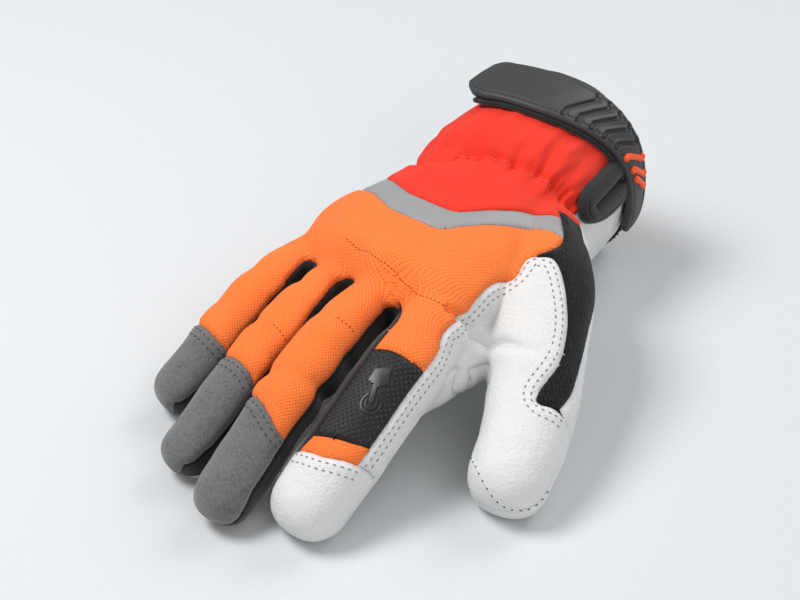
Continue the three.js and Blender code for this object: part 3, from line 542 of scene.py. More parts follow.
def folds(p, c, strength):
    """How far each point of the skin moves outward, in millimetres."""
    out = 0.55 * rumple(p, 17, 1) + 0.22 * rumple(p, 7, 2)
    row = hand_row(p[:, 1])
    angle = np.degrees(np.arctan2((p[:, 2] - row["z"]) / row["hh"], (p[:, 0] - row["x"]) / row["hw"]))
    arc = np.radians(angle) * 36
    line = np.interp(p[:, 0], *np.array([on_hand(a, b) for a, b in GATHER]).T)
    away = p[:, 1] - line
    upper = np.clip((np.sin(np.radians(angle)) + 0.25) * 2, 0, 1)
    fade = np.where(away > 0, np.exp(-away / 11), np.exp(away / 3.6))
    fine = rumple(np.stack([arc / 2.1, p[:, 1] / 9, 0 * arc], -1), 1, 3)
    broad = rumple(np.stack([arc / 5.2, p[:, 1] / 34, 0 * arc + 4], -1), 1, 4)
    wide_fade = np.where(away > 0, np.exp(-away / 22), np.exp(away / 6))
    out += upper * (1.9 * fine * fade + 3.0 * broad * wide_fade - 1.6 * bump(away, 2.0))
    out += upper * 0.8 * bump(away - 12, 9)
    out -= 4.2 * bump(angle - 146, 13) * bump(p[:, 1] / CUFF_LENGTH - 0.19, 0.085)
    top = np.clip(np.sin(np.radians(angle)), 0, 1) * (p[:, 1] < -20)
    for x, y, lean in ((-38.5, -62, 0.12), (-16, -72, 0.05), (9.5, -73, -0.03)):
        across = p[:, 0] - x - lean * (p[:, 1] - y)
        out -= (top * 1.5 * bump(across, 5.5) * np.clip((p[:, 1] - y + 6) / 8, 0, 1)
                * bump((p[:, 1] - y) / 34, 1))
    for name, places in KNUCKLES.items():
        k = c[name]
        rho = (np.abs(k["u"])**2.3 + np.abs(k["v"])**2.3)**(1 / 2.3)
        mine = np.clip((1.3 - rho) / 0.15, 0, 1) * (k["t"] > 0.1)
        for t, depth, lean, swell in places:
            s = (k["t"] - t - lean * k["u"]) * FINGERS.get(name, (THUMB_LENGTH,))[0]
            side = 0.35 + 0.65 * np.abs(k["u"])**1.5
            out += mine * (-depth * side * bump(s, 2.6) + swell * bump(s - 6.5, 5)
                           + 0.5 * swell * bump(s + 6, 5))
    crease = c["thumb"]
    s = (crease["t"] - np.interp(crease["u"], [-1.2, -0.33, 0.2], [0.515, 0.575, 0.6])) * THUMB_LENGTH
    hold = (np.clip((0.2 - crease["u"]) / 0.9, 0, 1) * np.clip((crease["v"] + 0.6) / 0.5, 0, 1)
            * (crease["u"] > -1.9))
    out += hold * (-2.6 * bump(s, 1.7) + 0.9 * bump(s - 4.5, 3.2))
    return out * strength


# share along, depth, lean and swell of the soft folds on each finger.
KNUCKLES = {
    "little": [(0.42, 0.8, 0.05, 0.35), (0.62, 0.5, 0.03, 0.3)],
    "ring": [(0.27, 0.9, 0.06, 0.45), (0.5, 0.9, 0.05, 0.45)],
    "middle": [(0.35, 0.6, 0.05, 0.3), (0.56, 1.3, -0.02, 0.55)],
    "index": [(0.3, 0.5, 0.0, 0.25)],
}


# Cutting the skin into panels.

def cut_along(bm, layer):
    """Cuts the faces of a mesh along the zero line of one of its fields."""
    fresh = []
    for edge in bm.edges[:]:
        a, b = edge.verts
        fa, fb = a[layer], b[layer]
        if (fa > 0) == (fb > 0):
            continue
        share = fa / (fa - fb)
        if share < 0.08 or share > 0.92:
            near = a if share < 0.5 else b
            near.co = a.co.lerp(b.co, share)
            near[layer] = 0
            fresh.append(near)
        else:
            vert = bmesh.utils.edge_split(edge, a, share)[1]
            vert[layer] = 0
            fresh.append(vert)
    # A dictionary keeps the order of its keys, so every run cuts in the same order.
    bmesh.ops.connect_verts(bm, verts=list(dict.fromkeys(fresh)))


def sewn_form(sizes):
    """The skin with its folds, cut and labelled panel by panel."""
    if "form" in made:
        return made["form"]
    solid = skin_mesh(sizes.voxel)
    co, edges = read(solid)
    rim = co[:, 1] > CUFF_LENGTH - 0.05
    co = relaxed(co, edges, 9, np.where(rim, 0, 0.55))
    co[:, 1] = np.where(rim, CUFF_LENGTH, co[:, 1])
    c = {name: tube.coords(co) for name, tube in TUBES.items()}
    fields = panel_fields(co, c)
    across, along = cloth_coords(co, c, fields["thumb_knit"])
    slit_height = cuff_point(SLIT_TURN, 0.5, 0)[2]
    fields["slit"] = np.minimum.reduce([
        0.85 - np.abs(co[:, 2] - slit_height), co[:, 0] - 20, co[:, 1] - 0.27 * CUFF_LENGTH])
    normal = normals_of(solid, co)
    co = co + normal * (folds(co, c, sizes.fold) * np.where(rim, 0.3, 1))[:, None]
    co = relaxed(co, edges, 1, np.where(rim, 0, 0.3))
    co = settle(co, np.where(co[:, 1] > -5, 1.8, 0.4), 0.7)
    normals_of(solid, co)
    bm = bmesh.new()
    bm.from_mesh(solid)
    values = {**fields, "cloth_across": across, "cloth_along": along}
    layers = {name: bm.verts.layers.float.new(name) for name in values}
    bm.verts.ensure_lookup_table()
    for name, layer in layers.items():
        for vert, value in zip(bm.verts, values[name].tolist()):
            vert[layer] = value
    order = [name for name in PANELS if name in fields]
    for name in [*order, "slit"]:
        cut_along(bm, layers[name])
    label = bm.faces.layers.int.new("panel")
    for face in bm.faces:
        verts, n = face.verts, len(face.verts)
        mean = lambda layer: sum(v[layer] for v in verts) / n
        face[label] = SLIT if mean(layers["slit"]) > 0 else next(
            (i for i, name in enumerate(order) if mean(layers[name]) > 0), len(order))
    bmesh.ops.delete(bm, geom=[f for f in bm.faces if f[label] == SLIT], context="FACES")
    drop_crumbs(bm, label)
    pull_seams(bm, label, sizes)
    bm.faces.ensure_lookup_table()
    made["form"] = (bm, label)
    return made["form"]


def drop_crumbs(bm, label):
    """Gives patches of a few faces to the panel around them."""
    seen = set()
    for start in bm.faces:
        if start in seen:
            continue
        patch, todo, around = [start], [start], {}
        seen.add(start)
        while todo:
            face = todo.pop()
            for edge in face.edges:
                for other in edge.link_faces:
                    if other[label] != start[label]:
                        around[other[label]] = around.get(other[label], 0) + 1
                    elif other not in seen:
                        seen.add(other)
                        patch.append(other)
                        todo.append(other)
        if len(patch) < 160 and around:
            winner = max(around, key=around.get)
            for face in patch:
                face[label] = winner


def pull_seams(bm, label, sizes):
    """Draws the skin in along its seams and lifts each panel between them."""
    bm.normal_update()
    seam = [v for v in bm.verts if len({f[label] for f in v.link_faces}) > 1]
    tree = KDTree(len(seam))
    for i, vert in enumerate(seam):
        tree.insert(vert.co, i)
    tree.balance()
    made["seam_points"] = [v.co.copy() for v in seam]
    lofts = [LOFT[name] for name in PANELS]
    depth = bm.verts.layers.float.new("seam_away")
    moves = []
    for vert in bm.verts:
        away = tree.find(vert.co)[2]
        vert[depth] = away
        if away > 9:
            lift = lofts[vert.link_faces[0][label]]
        else:
            kinds = {f[label] for f in vert.link_faces}
            lift = 0 if len(kinds) > 1 else lofts[kinds.pop()] * (1 - math.exp(-(away / 1.6)**2))
        moves.append(lift - sizes.seam * math.exp(-(away / 0.95)**2))
    for vert, move in zip(bm.verts, moves):
        vert.co += vert.normal * move


def panel_mesh(sizes, name):
    """One panel cut out of the sewn form, with its cloth coordinates as a UV map."""
    mine = PANELS.index(name)
    panel = sewn_form(sizes)[0].copy()
    label = panel.faces.layers.int["panel"]
    bmesh.ops.delete(panel, geom=[f for f in panel.faces if f[label] != mine], context="FACES")
    across, along = panel.verts.layers.float["cloth_across"], panel.verts.layers.float["cloth_along"]
    uv = panel.loops.layers.uv.new("cloth")
    for face in panel.faces:
        for loop in face.loops:
            loop[uv].uv = (loop.vert[across], loop.vert[along])
    for key in list(panel.verts.layers.float.keys()):
        if key != "seam_away":
            panel.verts.layers.float.remove(panel.verts.layers.float[key])
    panel.faces.layers.int.remove(panel.faces.layers.int["panel"])
    return panel


def sew_panel(sizes, name, material, thick):
    piece = piece_of(panel_mesh(sizes, name), name + "_cloth", material)
    wall = piece.modifiers.new("Wall", "SOLIDIFY")
    wall.thickness = thick * MM
    wall.offset = -1
    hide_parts(name)
    return piece


def form():
    """The sewn form, made on the first call with the sizes that are set now."""
    return sewn_form(props()[0])


def surface_tree():
    if "tree" not in made:
        made["tree"] = BVHTree.FromBMesh(form()[0])
    return made["tree"]


def seam_lines(first, others):
    """Ordered lines of points where one panel meets some others."""
    bm, label = form()
    if "meets" not in made:
        meets = {}
        for edge in bm.edges:
            faces = edge.link_faces
            if len(faces) == 2 and faces[0][label] != faces[1][label]:
                key = frozenset((faces[0][label], faces[1][label]))
                meets.setdefault(key, []).append(edge)
        made["meets"] = meets
    mine = PANELS.index(first)
    links = {}
    for other in others:
        for edge in made["meets"].get(frozenset((mine, PANELS.index(other))), []):
            a, b = edge.verts
            links.setdefault(a, []).append(b)
            links.setdefault(b, []).append(a)
    lines, used = [], set()
    starts = sorted(links, key=lambda v: (len(links[v]) != 1, v.co.y))
    for start in starts:
        if start in used:
            continue
        line, here = [start], start
        used.add(start)
        while True:
            following = [v for v in links[here] if v not in used]
            if not following:
                break
            here = following[0]
            used.add(here)
            line.append(here)
        if len(line) > 8:
            lines.append(np.array([v.co[:] for v in line]))
    return lines


def evened(line, pitch, smooth=4):
    """A line resampled at an even pitch after smoothing."""
    for _ in range(smooth):
        line[1:-1] = 0.5 * line[1:-1] + 0.25 * (line[:-2] + line[2:])
    arc = np.concatenate([[0], np.cumsum(np.linalg.norm(np.diff(line, axis=0), axis=1))])
    at = np.arange(pitch / 2, arc[-1], pitch)
    return np.stack([np.interp(at, arc, line[:, k]) for k in range(3)], -1)


def panel_at(point):
    """Nearest place on the form, its normal and the panel it belongs to."""
    bm, label = form()
    place, normal, i, _far = surface_tree().find_nearest(Vector(point))
    return place, normal, bm.faces[i][label]


def beside(first, others, offset):
    """Lines on one panel that run beside its seams at an offset."""
    rows = []
    mine = PANELS.index(first)
    for seam in seam_lines(first, others):
        line = evened(seam, 1.0, 6)
        if len(line) < 4:
            continue
        ahead = unit(np.gradient(line, axis=0))
        both = []
        for sign in (-1, 1):
            run = []
            for point, d in zip(line, ahead):
                normal = np.array(panel_at(point)[1])
                side = np.cross(normal, d) * sign
                place, _n, kind = panel_at(point + side * offset)
                run.append((place, kind == mine))
            both.append(run)
        best = max(both, key=lambda run: sum(ok for _p, ok in run))
        current = []
        for place, ok in best:
            if ok:
                current.append(place[:])
            elif len(current) > 4:
                rows.append(np.array(current))
                current = []
            else:
                current = []
        if len(current) > 4:
            rows.append(np.array(current))
    return rows


def stitch_line(bm, line, pitch, length, width, sink=0.1):
    """Threads along a line that lies on the form, each a small capsule."""
    points = evened(np.array(line, float), pitch, 3)
    if len(points) < 2:
        return
    found = [panel_at(point)[:2] for point in points]
    lay_threads(bm, [place for place, _n in found], [normal for _p, normal in found], length, width, sink)


def lay_threads(bm, places, normals, length, width, sink):
    """Small capsules at places, lying along the line that the places make."""
    ahead = unit(np.gradient(np.array([p[:] for p in places]), axis=0))
    for place, normal, d in zip(places, normals, ahead):
        n = Vector(normal).normalized()
        x = Vector(d)
        x = (x - n * x.dot(n)).normalized()
        y = n.cross(x)
        turn = Matrix((x * length / 2, y * width / 2, n * width / 2)).transposed().to_4x4()
        spot = Matrix.Translation(Vector(place) + n * (width * 0.5 - sink))
        matrix = spot @ turn @ Matrix.Rotation(math.pi / 2, 4, "Y")
        bmesh.ops.create_uvsphere(bm, u_segments=8, v_segments=5, radius=1, matrix=matrix)


def cuff_threads(name, turns, shares, heights, pitch, length, width, material):
    """Threads over the cuff, along turns and shares at a height."""
    line = settle(cuff_point(turns, shares, heights), 0.5)
    out = unit(cuff_point(turns, shares, np.asarray(heights) + 1) - line)
    arc = np.concatenate([[0], np.cumsum(np.linalg.norm(np.diff(line, axis=0), axis=1))])
    at = np.arange(pitch / 2, arc[-1], pitch)
    pick = lambda a: np.stack([np.interp(at, arc, a[:, k]) for k in range(3)], -1)
    bm = bmesh.new()
    lay_threads(bm, pick(line), pick(out), length, width, 0.12)
    piece = piece_of(bm, name, material)
    return piece


def thread_piece(name, rows, pitch, length, width, material, sink=0.1):
    bm = bmesh.new()
    for row in rows:
        stitch_line(bm, row, pitch, length, width, sink)
    piece = piece_of(bm, name, material)
    return piece


# Pieces laid over the cuff.

STRAP_ROWS = np.array([
    (9.95, 0.74, 0.6, 1.0), (9.6, 0.72, 0.88, 0.8), (9.0, 0.7, 1.0, 0.42), (8.0, 0.7, 1.0, 0.08),
    (7.0, 0.7, 1.0, 0.0), (6.0, 0.71, 0.97, 0.0), (5.0, 0.74, 0.91, 0.0), (4.0, 0.78, 0.82, 0.0),
    (3.0, 0.82, 0.72, 0.0), (2.0, 0.855, 0.64, 0.0), (1.0, 0.875, 0.58, 0.0), (0.0, 0.89, 0.54, 0.0),
    (-1.0, 0.885, 0.5, 0.0), (-1.4, 0.88, 0.4, 0.0),
])[::-1]
STRAP_WIDTH, STRAP_FOOT, STRAP_TOP, TAB_RISE = 27.0, 1.9, 4.9, 5.0
# The slit's bound edge: turn and share of the cuff, all the way round.
LOOP = [(29, 0.855), (30, 0.6), (31, 0.3), (28, 0.19), (21, 0.145), (13, 0.19), (7, 0.33), (4, 0.5),
        (3, 0.7), (6, 0.855)]
SLIT_FOOT = 0.29


def settle(points, lowest=0.4, soft=0.5):
    """Keeps points above the surface the glove lies on, without a crease."""
    gap = (points[..., 2] - lowest) / soft
    raised = lowest + soft * np.log1p(np.exp(np.minimum(gap, 12)))
    points[..., 2] = np.where(gap < 12, raised, points[..., 2])
    return points


def strap_row(step):
    return [eased(STRAP_ROWS[:, 0], STRAP_ROWS[:, [k]], np.atleast_1d(step))[:, 0] for k in (1, 2, 3)]


def strap_point(step, across, height):
    """Points of the strap: steps round the cuff, shares of the half width, height above the cuff."""
    step, across, height = np.broadcast_arrays(*(np.asarray(v, float) for v in (step, across, height)))
    centre, wide, off = (k.reshape(step.shape) for k in strap_row(step.ravel()))
    share = centre + across * wide * STRAP_WIDTH / 2 / CUFF_LENGTH
    return cuff_point(step * STEP, share, height + off * TAB_RISE)


STEP_LENGTH = 9.3


def path_away(step, across, wide, path):
    """Distance in millimetres from places on the strap to a path of steps and half widths."""
    x, y = step * STEP_LENGTH, across * wide * STRAP_WIDTH / 2
    nearest = np.full(x.shape, 1e9)
    half = wide * STRAP_WIDTH / 2
    for (a, b), (c, d) in zip(path, path[1:]):
        ax, ay, cx, cy = a * STEP_LENGTH, b * half, c * STEP_LENGTH, d * half
        ex, ey = cx - ax, cy - ay
        t = np.clip(((x - ax) * ex + (y - ay) * ey) / (ex * ex + ey * ey), 0, 1)
        nearest = np.minimum(nearest, np.hypot(x - ax - t * ex, y - ay - t * ey))
    return nearest


GROOVES = [5.25, 4.6, 3.95, 3.25, 2.5]
RIBS = [(1.75, 1.0), (1.05, 0.85), (0.55, 0.7)]


def chevron(step, size=1.0):
    """Steps and shares of the half width along a bent bar."""
    return [(step + 0.33, -0.84 * size), (step + 0.38, -0.5 * size),
            (step - 0.3, 0.55 * size), (step - 0.16, 0.8 * size)]


def strap_mesh():
    """The moulded strap, its border groove and its chevrons pressed into the top."""
    steps = np.linspace(9.95, -1.4, 420)
    across = np.linspace(-1, 1, 61)
    s, a = np.meshgrid(steps, across, indexing="ij")
    wide = strap_row(s.ravel())[1].reshape(s.shape)
    half = wide * STRAP_WIDTH / 2
    side = half * (1 - np.abs(a))
    end = np.minimum(9.95 - s, s + 1.4) * STEP_LENGTH
    rim = np.minimum(side, end)
    top = STRAP_TOP - 1.1 * (1 - np.sqrt(1 - (1 - np.clip(rim / 1.1, 0, 1))**2))
    top += 0.35 * np.clip(1 - a * a, 0, 1)
    inside = np.minimum(side, end + 0.5)
    top -= 0.55 * bump(inside - 2.5, 0.45)
    for step in GROOVES:
        away = path_away(s, a, wide, chevron(step))
        top += -1.15 * np.exp(-(away / 0.95)**4) + 0.55 * bump(away, 0.28) + 0.22 * bump(away - 1.5, 0.4)
    sole = np.linspace(1, -1, 9)
    s2, a2 = np.meshgrid(steps, sole, indexing="ij")
    upper = strap_point(s, a, top)
    lower = strap_point(s2, a2, STRAP_FOOT)
    rings = np.concatenate([upper, lower, upper[:, :1]], 1)
    bm = bmesh.new()
    loft_into(bm, settle(rings))
    bmesh.ops.recalc_face_normals(bm, faces=bm.faces)
    return bm


def rib_mesh(step, size):
    """A rounded chevron bar standing on the strap."""
    path = np.array(chevron(step, size))
    line = np.stack([np.interp(np.linspace(0, 3, 60), [0, 0.5, 2.6, 3], path[:, k]) for k in (0, 1)], -1)
    foot = strap_point(line[:, 0], line[:, 1], STRAP_TOP - 0.5)
    top = strap_point(line[:, 0], line[:, 1], STRAP_TOP + 0.5)
    out = unit(top - foot)
    ahead = unit(np.gradient(top, axis=0))
    over = np.cross(ahead, out)
    far = np.abs(np.linspace(-1, 1, 60))
    taper = (1 - np.clip((far - 0.88) / 0.12, 0, 0.985)**2.2)**(1 / 2.2)
    turn = np.linspace(0, 2 * np.pi, 21)
    x, z = 1.25 * power(np.cos(turn), 0.75), 1.25 * power(np.sin(turn), 0.75)
    middle = strap_point(line[:, 0], line[:, 1], STRAP_TOP + 0.15)
    rings = (middle[:, None] + (taper[:, None] * x)[..., None] * over[:, None]
             + (taper[:, None] * z)[..., None] * out[:, None])
    bm = bmesh.new()
    loft_into(bm, rings)
    bmesh.ops.recalc_face_normals(bm, faces=bm.faces)
    return bm


def backing_mesh():
    """The pile backing, showing a lip below the strap's edge toward the hand."""
    steps = np.linspace(9.45, 0.2, 220)
    centre, wide, off = strap_row(steps)
    low = centre - wide * STRAP_WIDTH / 2 / CUFF_LENGTH - 1.5 / CUFF_LENGTH
    high = np.minimum(centre + wide * STRAP_WIDTH / 2 / CUFF_LENGTH - 0.01, 0.868)
    f = np.linspace(0, 1, 25)
    share = low[:, None] + (high - low)[:, None] * f
    height = 1.25 + 0.5 * off[:, None] * TAB_RISE + 0.12 * np.sin(f * 3)
    turn = np.broadcast_to((steps * STEP)[:, None], share.shape)
    bm = bmesh.new()
    loft_into(bm, settle(cuff_point(turn, share, height)), closed=False)
    return bm


def hem_mesh():
    """A binding folded round the cuff's hem, open at the slit."""
    turns = np.linspace(30, 363.5, 420)
    start, end = 1 - 7 / CUFF_LENGTH, 1 + 1.0 / CUFF_LENGTH
    profile = [(start + (end - start) * f, 1.0) for f in np.linspace(0, 0.93, 9)]
    profile += [(end + 0.008 * math.sin(a), -1.0 + 2.0 * math.cos(a))
                for a in np.linspace(0.25, math.pi - 0.25, 9)]
    profile += [(start + (end - start) * f, -3.0) for f in np.linspace(0.93, 0, 9)]
    profile = np.array(profile)
    turn = np.broadcast_to(turns[:, None], (len(turns), len(profile)))
    share = np.broadcast_to(profile[:, 0], turn.shape)
    distance = np.broadcast_to(profile[:, 1], turn.shape)
    points = settle(cuff_point(turn, share, distance), 0.9 + 0.75 * (1.0 - distance))
    wave = np.array([noise.noise(Vector((p[0] / 11, 3, p[2] / 11))) for p in points[:, 4]])
    points[..., 1] += 0.8 * wave[:, None]
    bm = bmesh.new()
    loft_into(bm, points, closed=False)
    return bm


def loop_mesh():
    """The padded binding round the slit, dipping into it."""
    loop = np.array([*LOOP, LOOP[0]], float)
    outer = spline(loop[:-1], np.linspace(0, 1, 150))
    tail = np.linspace(outer[-1], outer[0], 24)[1:-1]
    outer = np.concatenate([outer, tail])
    turns = SLIT_TURN + (outer[:, 0] - SLIT_TURN) * 0.055
    shares = np.clip(SLIT_FOOT + (outer[:, 1] - SLIT_FOOT) * 0.93, 0.285, 0.85)
    inner = np.stack([turns, shares], -1)
    f = np.linspace(0, 1, 22)
    ring = outer[:, None] + (inner - outer)[:, None] * f[None, :, None]
    height = (0.25 + 1.9 * np.clip(f / 0.1, 0, 1)**0.5 - 0.45 * bump(f - 0.27, 0.045)
              + 0.7 * np.sin(np.pi * np.clip(f, 0, 0.9)) - 4.6 * np.clip((f - 0.8) / 0.2, 0, 1)**1.6)
    points = cuff_point(ring[..., 0], ring[..., 1], np.broadcast_to(height, ring.shape[:2]))
    points = np.concatenate([points, points[:1]])
    bm = bmesh.new()
    loft_into(bm, points, closed=False)
    bmesh.ops.remove_doubles(bm, verts=bm.verts, dist=1e-4)
    return bm


def over_cuff(bm, name, node, material, thick, offset=-1.0):
    piece = piece_of(bm, name, material)
    if thick:
        wall = piece.modifiers.new("Wall", "SOLIDIFY")
        wall.thickness = thick * MM
        wall.offset = offset
    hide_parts(node)
    return piece


PATCH_CURVE = 13.5
DOT_HALF = (0.72, 0.47, 0.36)
DOT_ROW, DOT_GAP, DOT_MARGIN = 1.0, 2.1, 1.3


def patch_place(across, along):
    """Where lengths across and along the index finger's top meet the form."""
    tube = TUBES["index"]
    x = along / FINGERS["index"][0] * (tube.count - 1)
    i = min(tube.count - 3, int(x))
    centre = Vector(tube.c[i] + (tube.c[i + 1] - tube.c[i]) * (x - i))
    angle = math.pi / 2 - across / PATCH_CURVE
    way = tube.u[i] * math.cos(angle) + tube.v[i] * math.sin(angle)
    place, normal, face, _far = surface_tree().ray_cast(centre, Vector(way), 40)
    return i, centre, place, normal, face


def raised_dots():
    """Low dots of silicone in staggered rows over the touch patch, left out round the symbol."""
    bm, label = form()
    mine = PANELS.index("touch_patch")
    tube = TUBES["index"]
    dots = bmesh.new()
    seams = KDTree(len(made["seam_points"]))
    for i, point in enumerate(made["seam_points"]):
        seams.insert(point, i)
    seams.balance()
    for row in range(39):
        along = 34 + row * DOT_ROW
        for column in range(-16, 17):
            across = (column + 0.5 * (row % 2)) * DOT_GAP
            i, _centre, place, normal, face = patch_place(across, along)
            if place is None or bm.faces[face][label] != mine or seams.find(place)[2] < DOT_MARGIN:
                continue
            if symbol_field(across, along) > -0.7:
                continue
            n = normal.normalized()
            x = Vector(tube.d[i]).lerp(Vector(tube.u[i]), 0.32)
            x = (x - n * x.dot(n)).normalized()
            half = DOT_HALF
            turn = Matrix((x * half[0], n.cross(x) * half[1], n * half[2])).transposed().to_4x4()
            spot = Matrix.Translation(place + n * 0.02) @ turn
            bmesh.ops.create_uvsphere(dots, u_segments=8, v_segments=5, radius=1, matrix=spot)
    return dots


SYMBOL = (3.6, 48.6)
SYMBOL_TURN = -0.42


def capsule(x, y, ax, ay, bx, by, r):
    """How far inside a round ended bar a flat point lies."""
    share = ((x - ax) * (bx - ax) + (y - ay) * (by - ay)) / ((bx - ax)**2 + (by - ay)**2 + 1e-9)
    share = min(1, max(0, share))
    return r - math.hypot(x - ax - share * (bx - ax), y - ay - share * (by - ay))


def symbol_field(across, along):
    """The touch symbol seen flat, positive inside: two rings round the tip of a pointing hand."""
    x, y = across - SYMBOL[0], SYMBOL[1] - along
    c, s = math.cos(SYMBOL_TURN), math.sin(SYMBOL_TURN)
    x, y = x * c - y * s, x * s + y * c
    r = math.hypot(x, y + 4.2)
    rings = max(0.36 - abs(r - 1.75), 0.36 - abs(r - 3.1))
    if abs(x) < 1.3 and y > -4.2:
        rings = -1
    palm = min(2.7 - abs(x - 0.9), 2.3 - abs(y - 4.2))
    bars = [(0, -3.6, 0, 2.5, 0.75), (1.25, 1.2, 1.25, 3, 0.6), (2.4, 1.5, 2.4, 3, 0.6),
            (3.4, 2.0, 3.2, 3.4, 0.55), (-2.2, 3.2, -1.0, 5.4, 0.7)]
    return max(rings, palm, *(capsule(x, y, *bar) for bar in bars))


def symbol_mesh():
    """The touch symbol in low relief, laid on the patch."""
    bm = bmesh.new()
    field = bm.verts.layers.float.new("field")
    for vert in bmesh.ops.create_grid(bm, x_segments=110, y_segments=110, size=1)["verts"]:
        across, along = SYMBOL[0] + vert.co.x * 10, SYMBOL[1] + vert.co.y * 10
        vert[field] = symbol_field(across, along)
        _i, centre, place, _normal, _face = patch_place(across, along)
        vert.co = place if place else centre
    cut_along(bm, field)
    outside = [f for f in bm.faces if sum(v[field] for v in f.verts) <= 0]
    bmesh.ops.delete(bm, geom=outside, context="FACES")
    bmesh.ops.smooth_vert(bm, verts=bm.verts, factor=0.5, use_axis_x=True, use_axis_y=True, use_axis_z=True)
    bmesh.ops.recalc_face_normals(bm, faces=bm.faces)
    bm.normal_update()
    if sum(f.normal.z for f in bm.faces) < 0:
        bmesh.ops.reverse_faces(bm, faces=bm.faces)
    return bm


def plan_line(points, height=90.0):
    """Plan points dropped onto the top of the form."""
    tree = surface_tree()
    line = []
    for x, y in rounded([np.array(p) for p in points], 12):
        place = tree.ray_cast(Vector((x, y, height)), Vector((0, 0, -1)))[0]
        if place is not None:
            line.append(place[:])
    return np.array(line)


def finger_line(name, places):
    """Places given by share along and share of the half width, dropped onto a finger's top."""
    return plan_line([TUBES[name].at(t, u) for t, u in places])


# Side and along of the quilting line over the back of the hand.
QUILT = [(-0.245, -0.861), (-0.13, -0.9), (-0.047, -0.936), (0.056, -0.964), (0.136, -0.995),
         (0.21, -1.03), (0.3, -1.04), (0.365, -1.03)]
# Across, rise and ahead of the thumb's last section, for the seam over its tip.
THUMB_SEAM = [(-0.95, 0.55, 1), (-0.6, 0.75, 5.5), (-0.2, 0.6, 9.5), (0.2, 0.3, 12), (0.6, 0.12, 10),
              (0.98, 0.1, 3)]


def leather_rows():
    """Two rows beside each seam of the leather."""
    rows = []
    for away in (2.2, 4.7):
        rows += beside("index_cap", ["index_band", "back_mesh"], away)
        rows += beside("side_leather", ["back_mesh", "touch_patch", "index_band"], away)
        rows += beside("side_leather", ["thumb_knit"], away + 0.3)
    return rows


def cap_rows():
    """Two rows beside the seam of each suede cap."""
    rows = []
    for name in ("middle_cap", "ring_cap", "little_cap"):
        for away in (2.0, 4.4):
            rows += beside(name, ["back_mesh"], away)
    return rows


def quilting_rows():
    """The line over the back of the hand and a short one on two fingers."""
    return [
        plan_line([on_hand(a, b) for a, b in QUILT]),
        finger_line("middle", [(0.345, 0.12), (0.345, 0.5), (0.34, 0.8)]),
        finger_line("ring", [(0.5, 0.12), (0.505, 0.5), (0.51, 0.8)]),
    ]


def thumb_seam():
    """The seam over the thumb's tip, laid on the form."""
    thumb = TUBES["thumb"]
    line = []
    for across, rise, ahead in THUMB_SEAM:
        side = thumb.u[-1] * thumb.hw[-1] * across
        line.append(thumb.c[-1] + side + thumb.v[-1] * thumb.hh[-1] * rise + thumb.d[-1] * ahead)
    return [np.array([panel_at(q)[0][:] for q in spline(np.array(line), np.linspace(0, 1, 40))])]


# Materials.

def linear(hex_colour):
    """Turns an sRGB hex colour to linear light."""
    parts = [int(hex_colour[i:i + 2], 16) / 255 for i in (1, 3, 5)]
    return (*[p / 12.92 if p <= 0.04045 else ((p + 0.055) / 1.055)**2.4 for p in parts], 1.0)


def add(tree, kind, inputs=None, **settings):
    """Adds a node with its settings, and links or fills its inputs."""
    node = tree.nodes.new(kind)
    for key, value in settings.items():
        setattr(node, key, value)
    for key, value in (inputs or {}).items():
        if isinstance(value, bpy.types.NodeSocket):
            tree.links.new(value, node.inputs[key])
        else:
            node.inputs[key].default_value = value
    return node


def blank(name, roughness, specular, sheen=0.0, nap=0.5):
    """A material with one shader, given its roughness, its shine and its sheen."""
    material = bpy.data.materials.new(name)
    material.use_nodes = True
    tree = material.node_tree
    tree.nodes.clear()
    surface = add(tree, "ShaderNodeBsdfPrincipled", {
        "Roughness": roughness, "Specular IOR Level": specular,
        "Sheen Weight": sheen, "Sheen Roughness": nap})
    add(tree, "ShaderNodeOutputMaterial", {"Surface": surface.outputs["BSDF"]})
    return material, tree, surface


def finish_surface(tree, surface, colour, height, strength, distance):
    """Links a colour and a height to the shader; distance is in metres."""
    lift = add(tree, "ShaderNodeBump", {"Height": height, "Strength": strength, "Distance": distance})
    tree.links.new(colour, surface.inputs["Base Color"])
    tree.links.new(lift.outputs["Normal"], surface.inputs["Normal"])


def cloth_vector(tree, turn):
    """Cloth coordinates in millimetres, turned in the plane by degrees."""
    uv = add(tree, "ShaderNodeUVMap", uv_map="cloth")
    settings = {"Vector": uv.outputs["UV"], "Rotation": (0, 0, math.radians(turn))}
    return add(tree, "ShaderNodeMapping", settings).outputs["Vector"]


def body_vector(tree):
    """Object coordinates in millimetres."""
    at = add(tree, "ShaderNodeTexCoord")
    inputs = {0: at.outputs["Object"], 1: (1000, 1000, 1000)}
    return add(tree, "ShaderNodeVectorMath", inputs, operation="MULTIPLY").outputs["Vector"]


def mixed(tree, factor, low, high):
    """A colour between two others."""
    node = add(tree, "ShaderNodeMix", {0: factor}, data_type="RGBA")
    for key, value in ((6, low), (7, high)):
        if isinstance(value, bpy.types.NodeSocket):
            tree.links.new(value, node.inputs[key])
        else:
            node.inputs[key].default_value = value
    return node.outputs[2]


def grain(tree, vector, scale, detail=2.0, roughness=0.5):
    """Soft noise, with about scale spots to the millimetre."""
    inputs = {"Vector": vector, "Scale": scale, "Detail": detail, "Roughness": roughness}
    return add(tree, "ShaderNodeTexNoise", inputs).outputs["Fac"]


def worked(tree, operation, *values):
    """The result of a sum, a difference or a product."""
    return add(tree, "ShaderNodeMath", dict(enumerate(values)), operation=operation).outputs[0]


def ranged(tree, value, low=0.0, high=1.0, to_low=0.0, to_high=1.0):
    """A value carried from one range to another."""
    inputs = {"Value": value, "From Min": low, "From Max": high, "To Min": to_low, "To Max": to_high}
    return add(tree, "ShaderNodeMapRange", inputs).outputs["Result"]


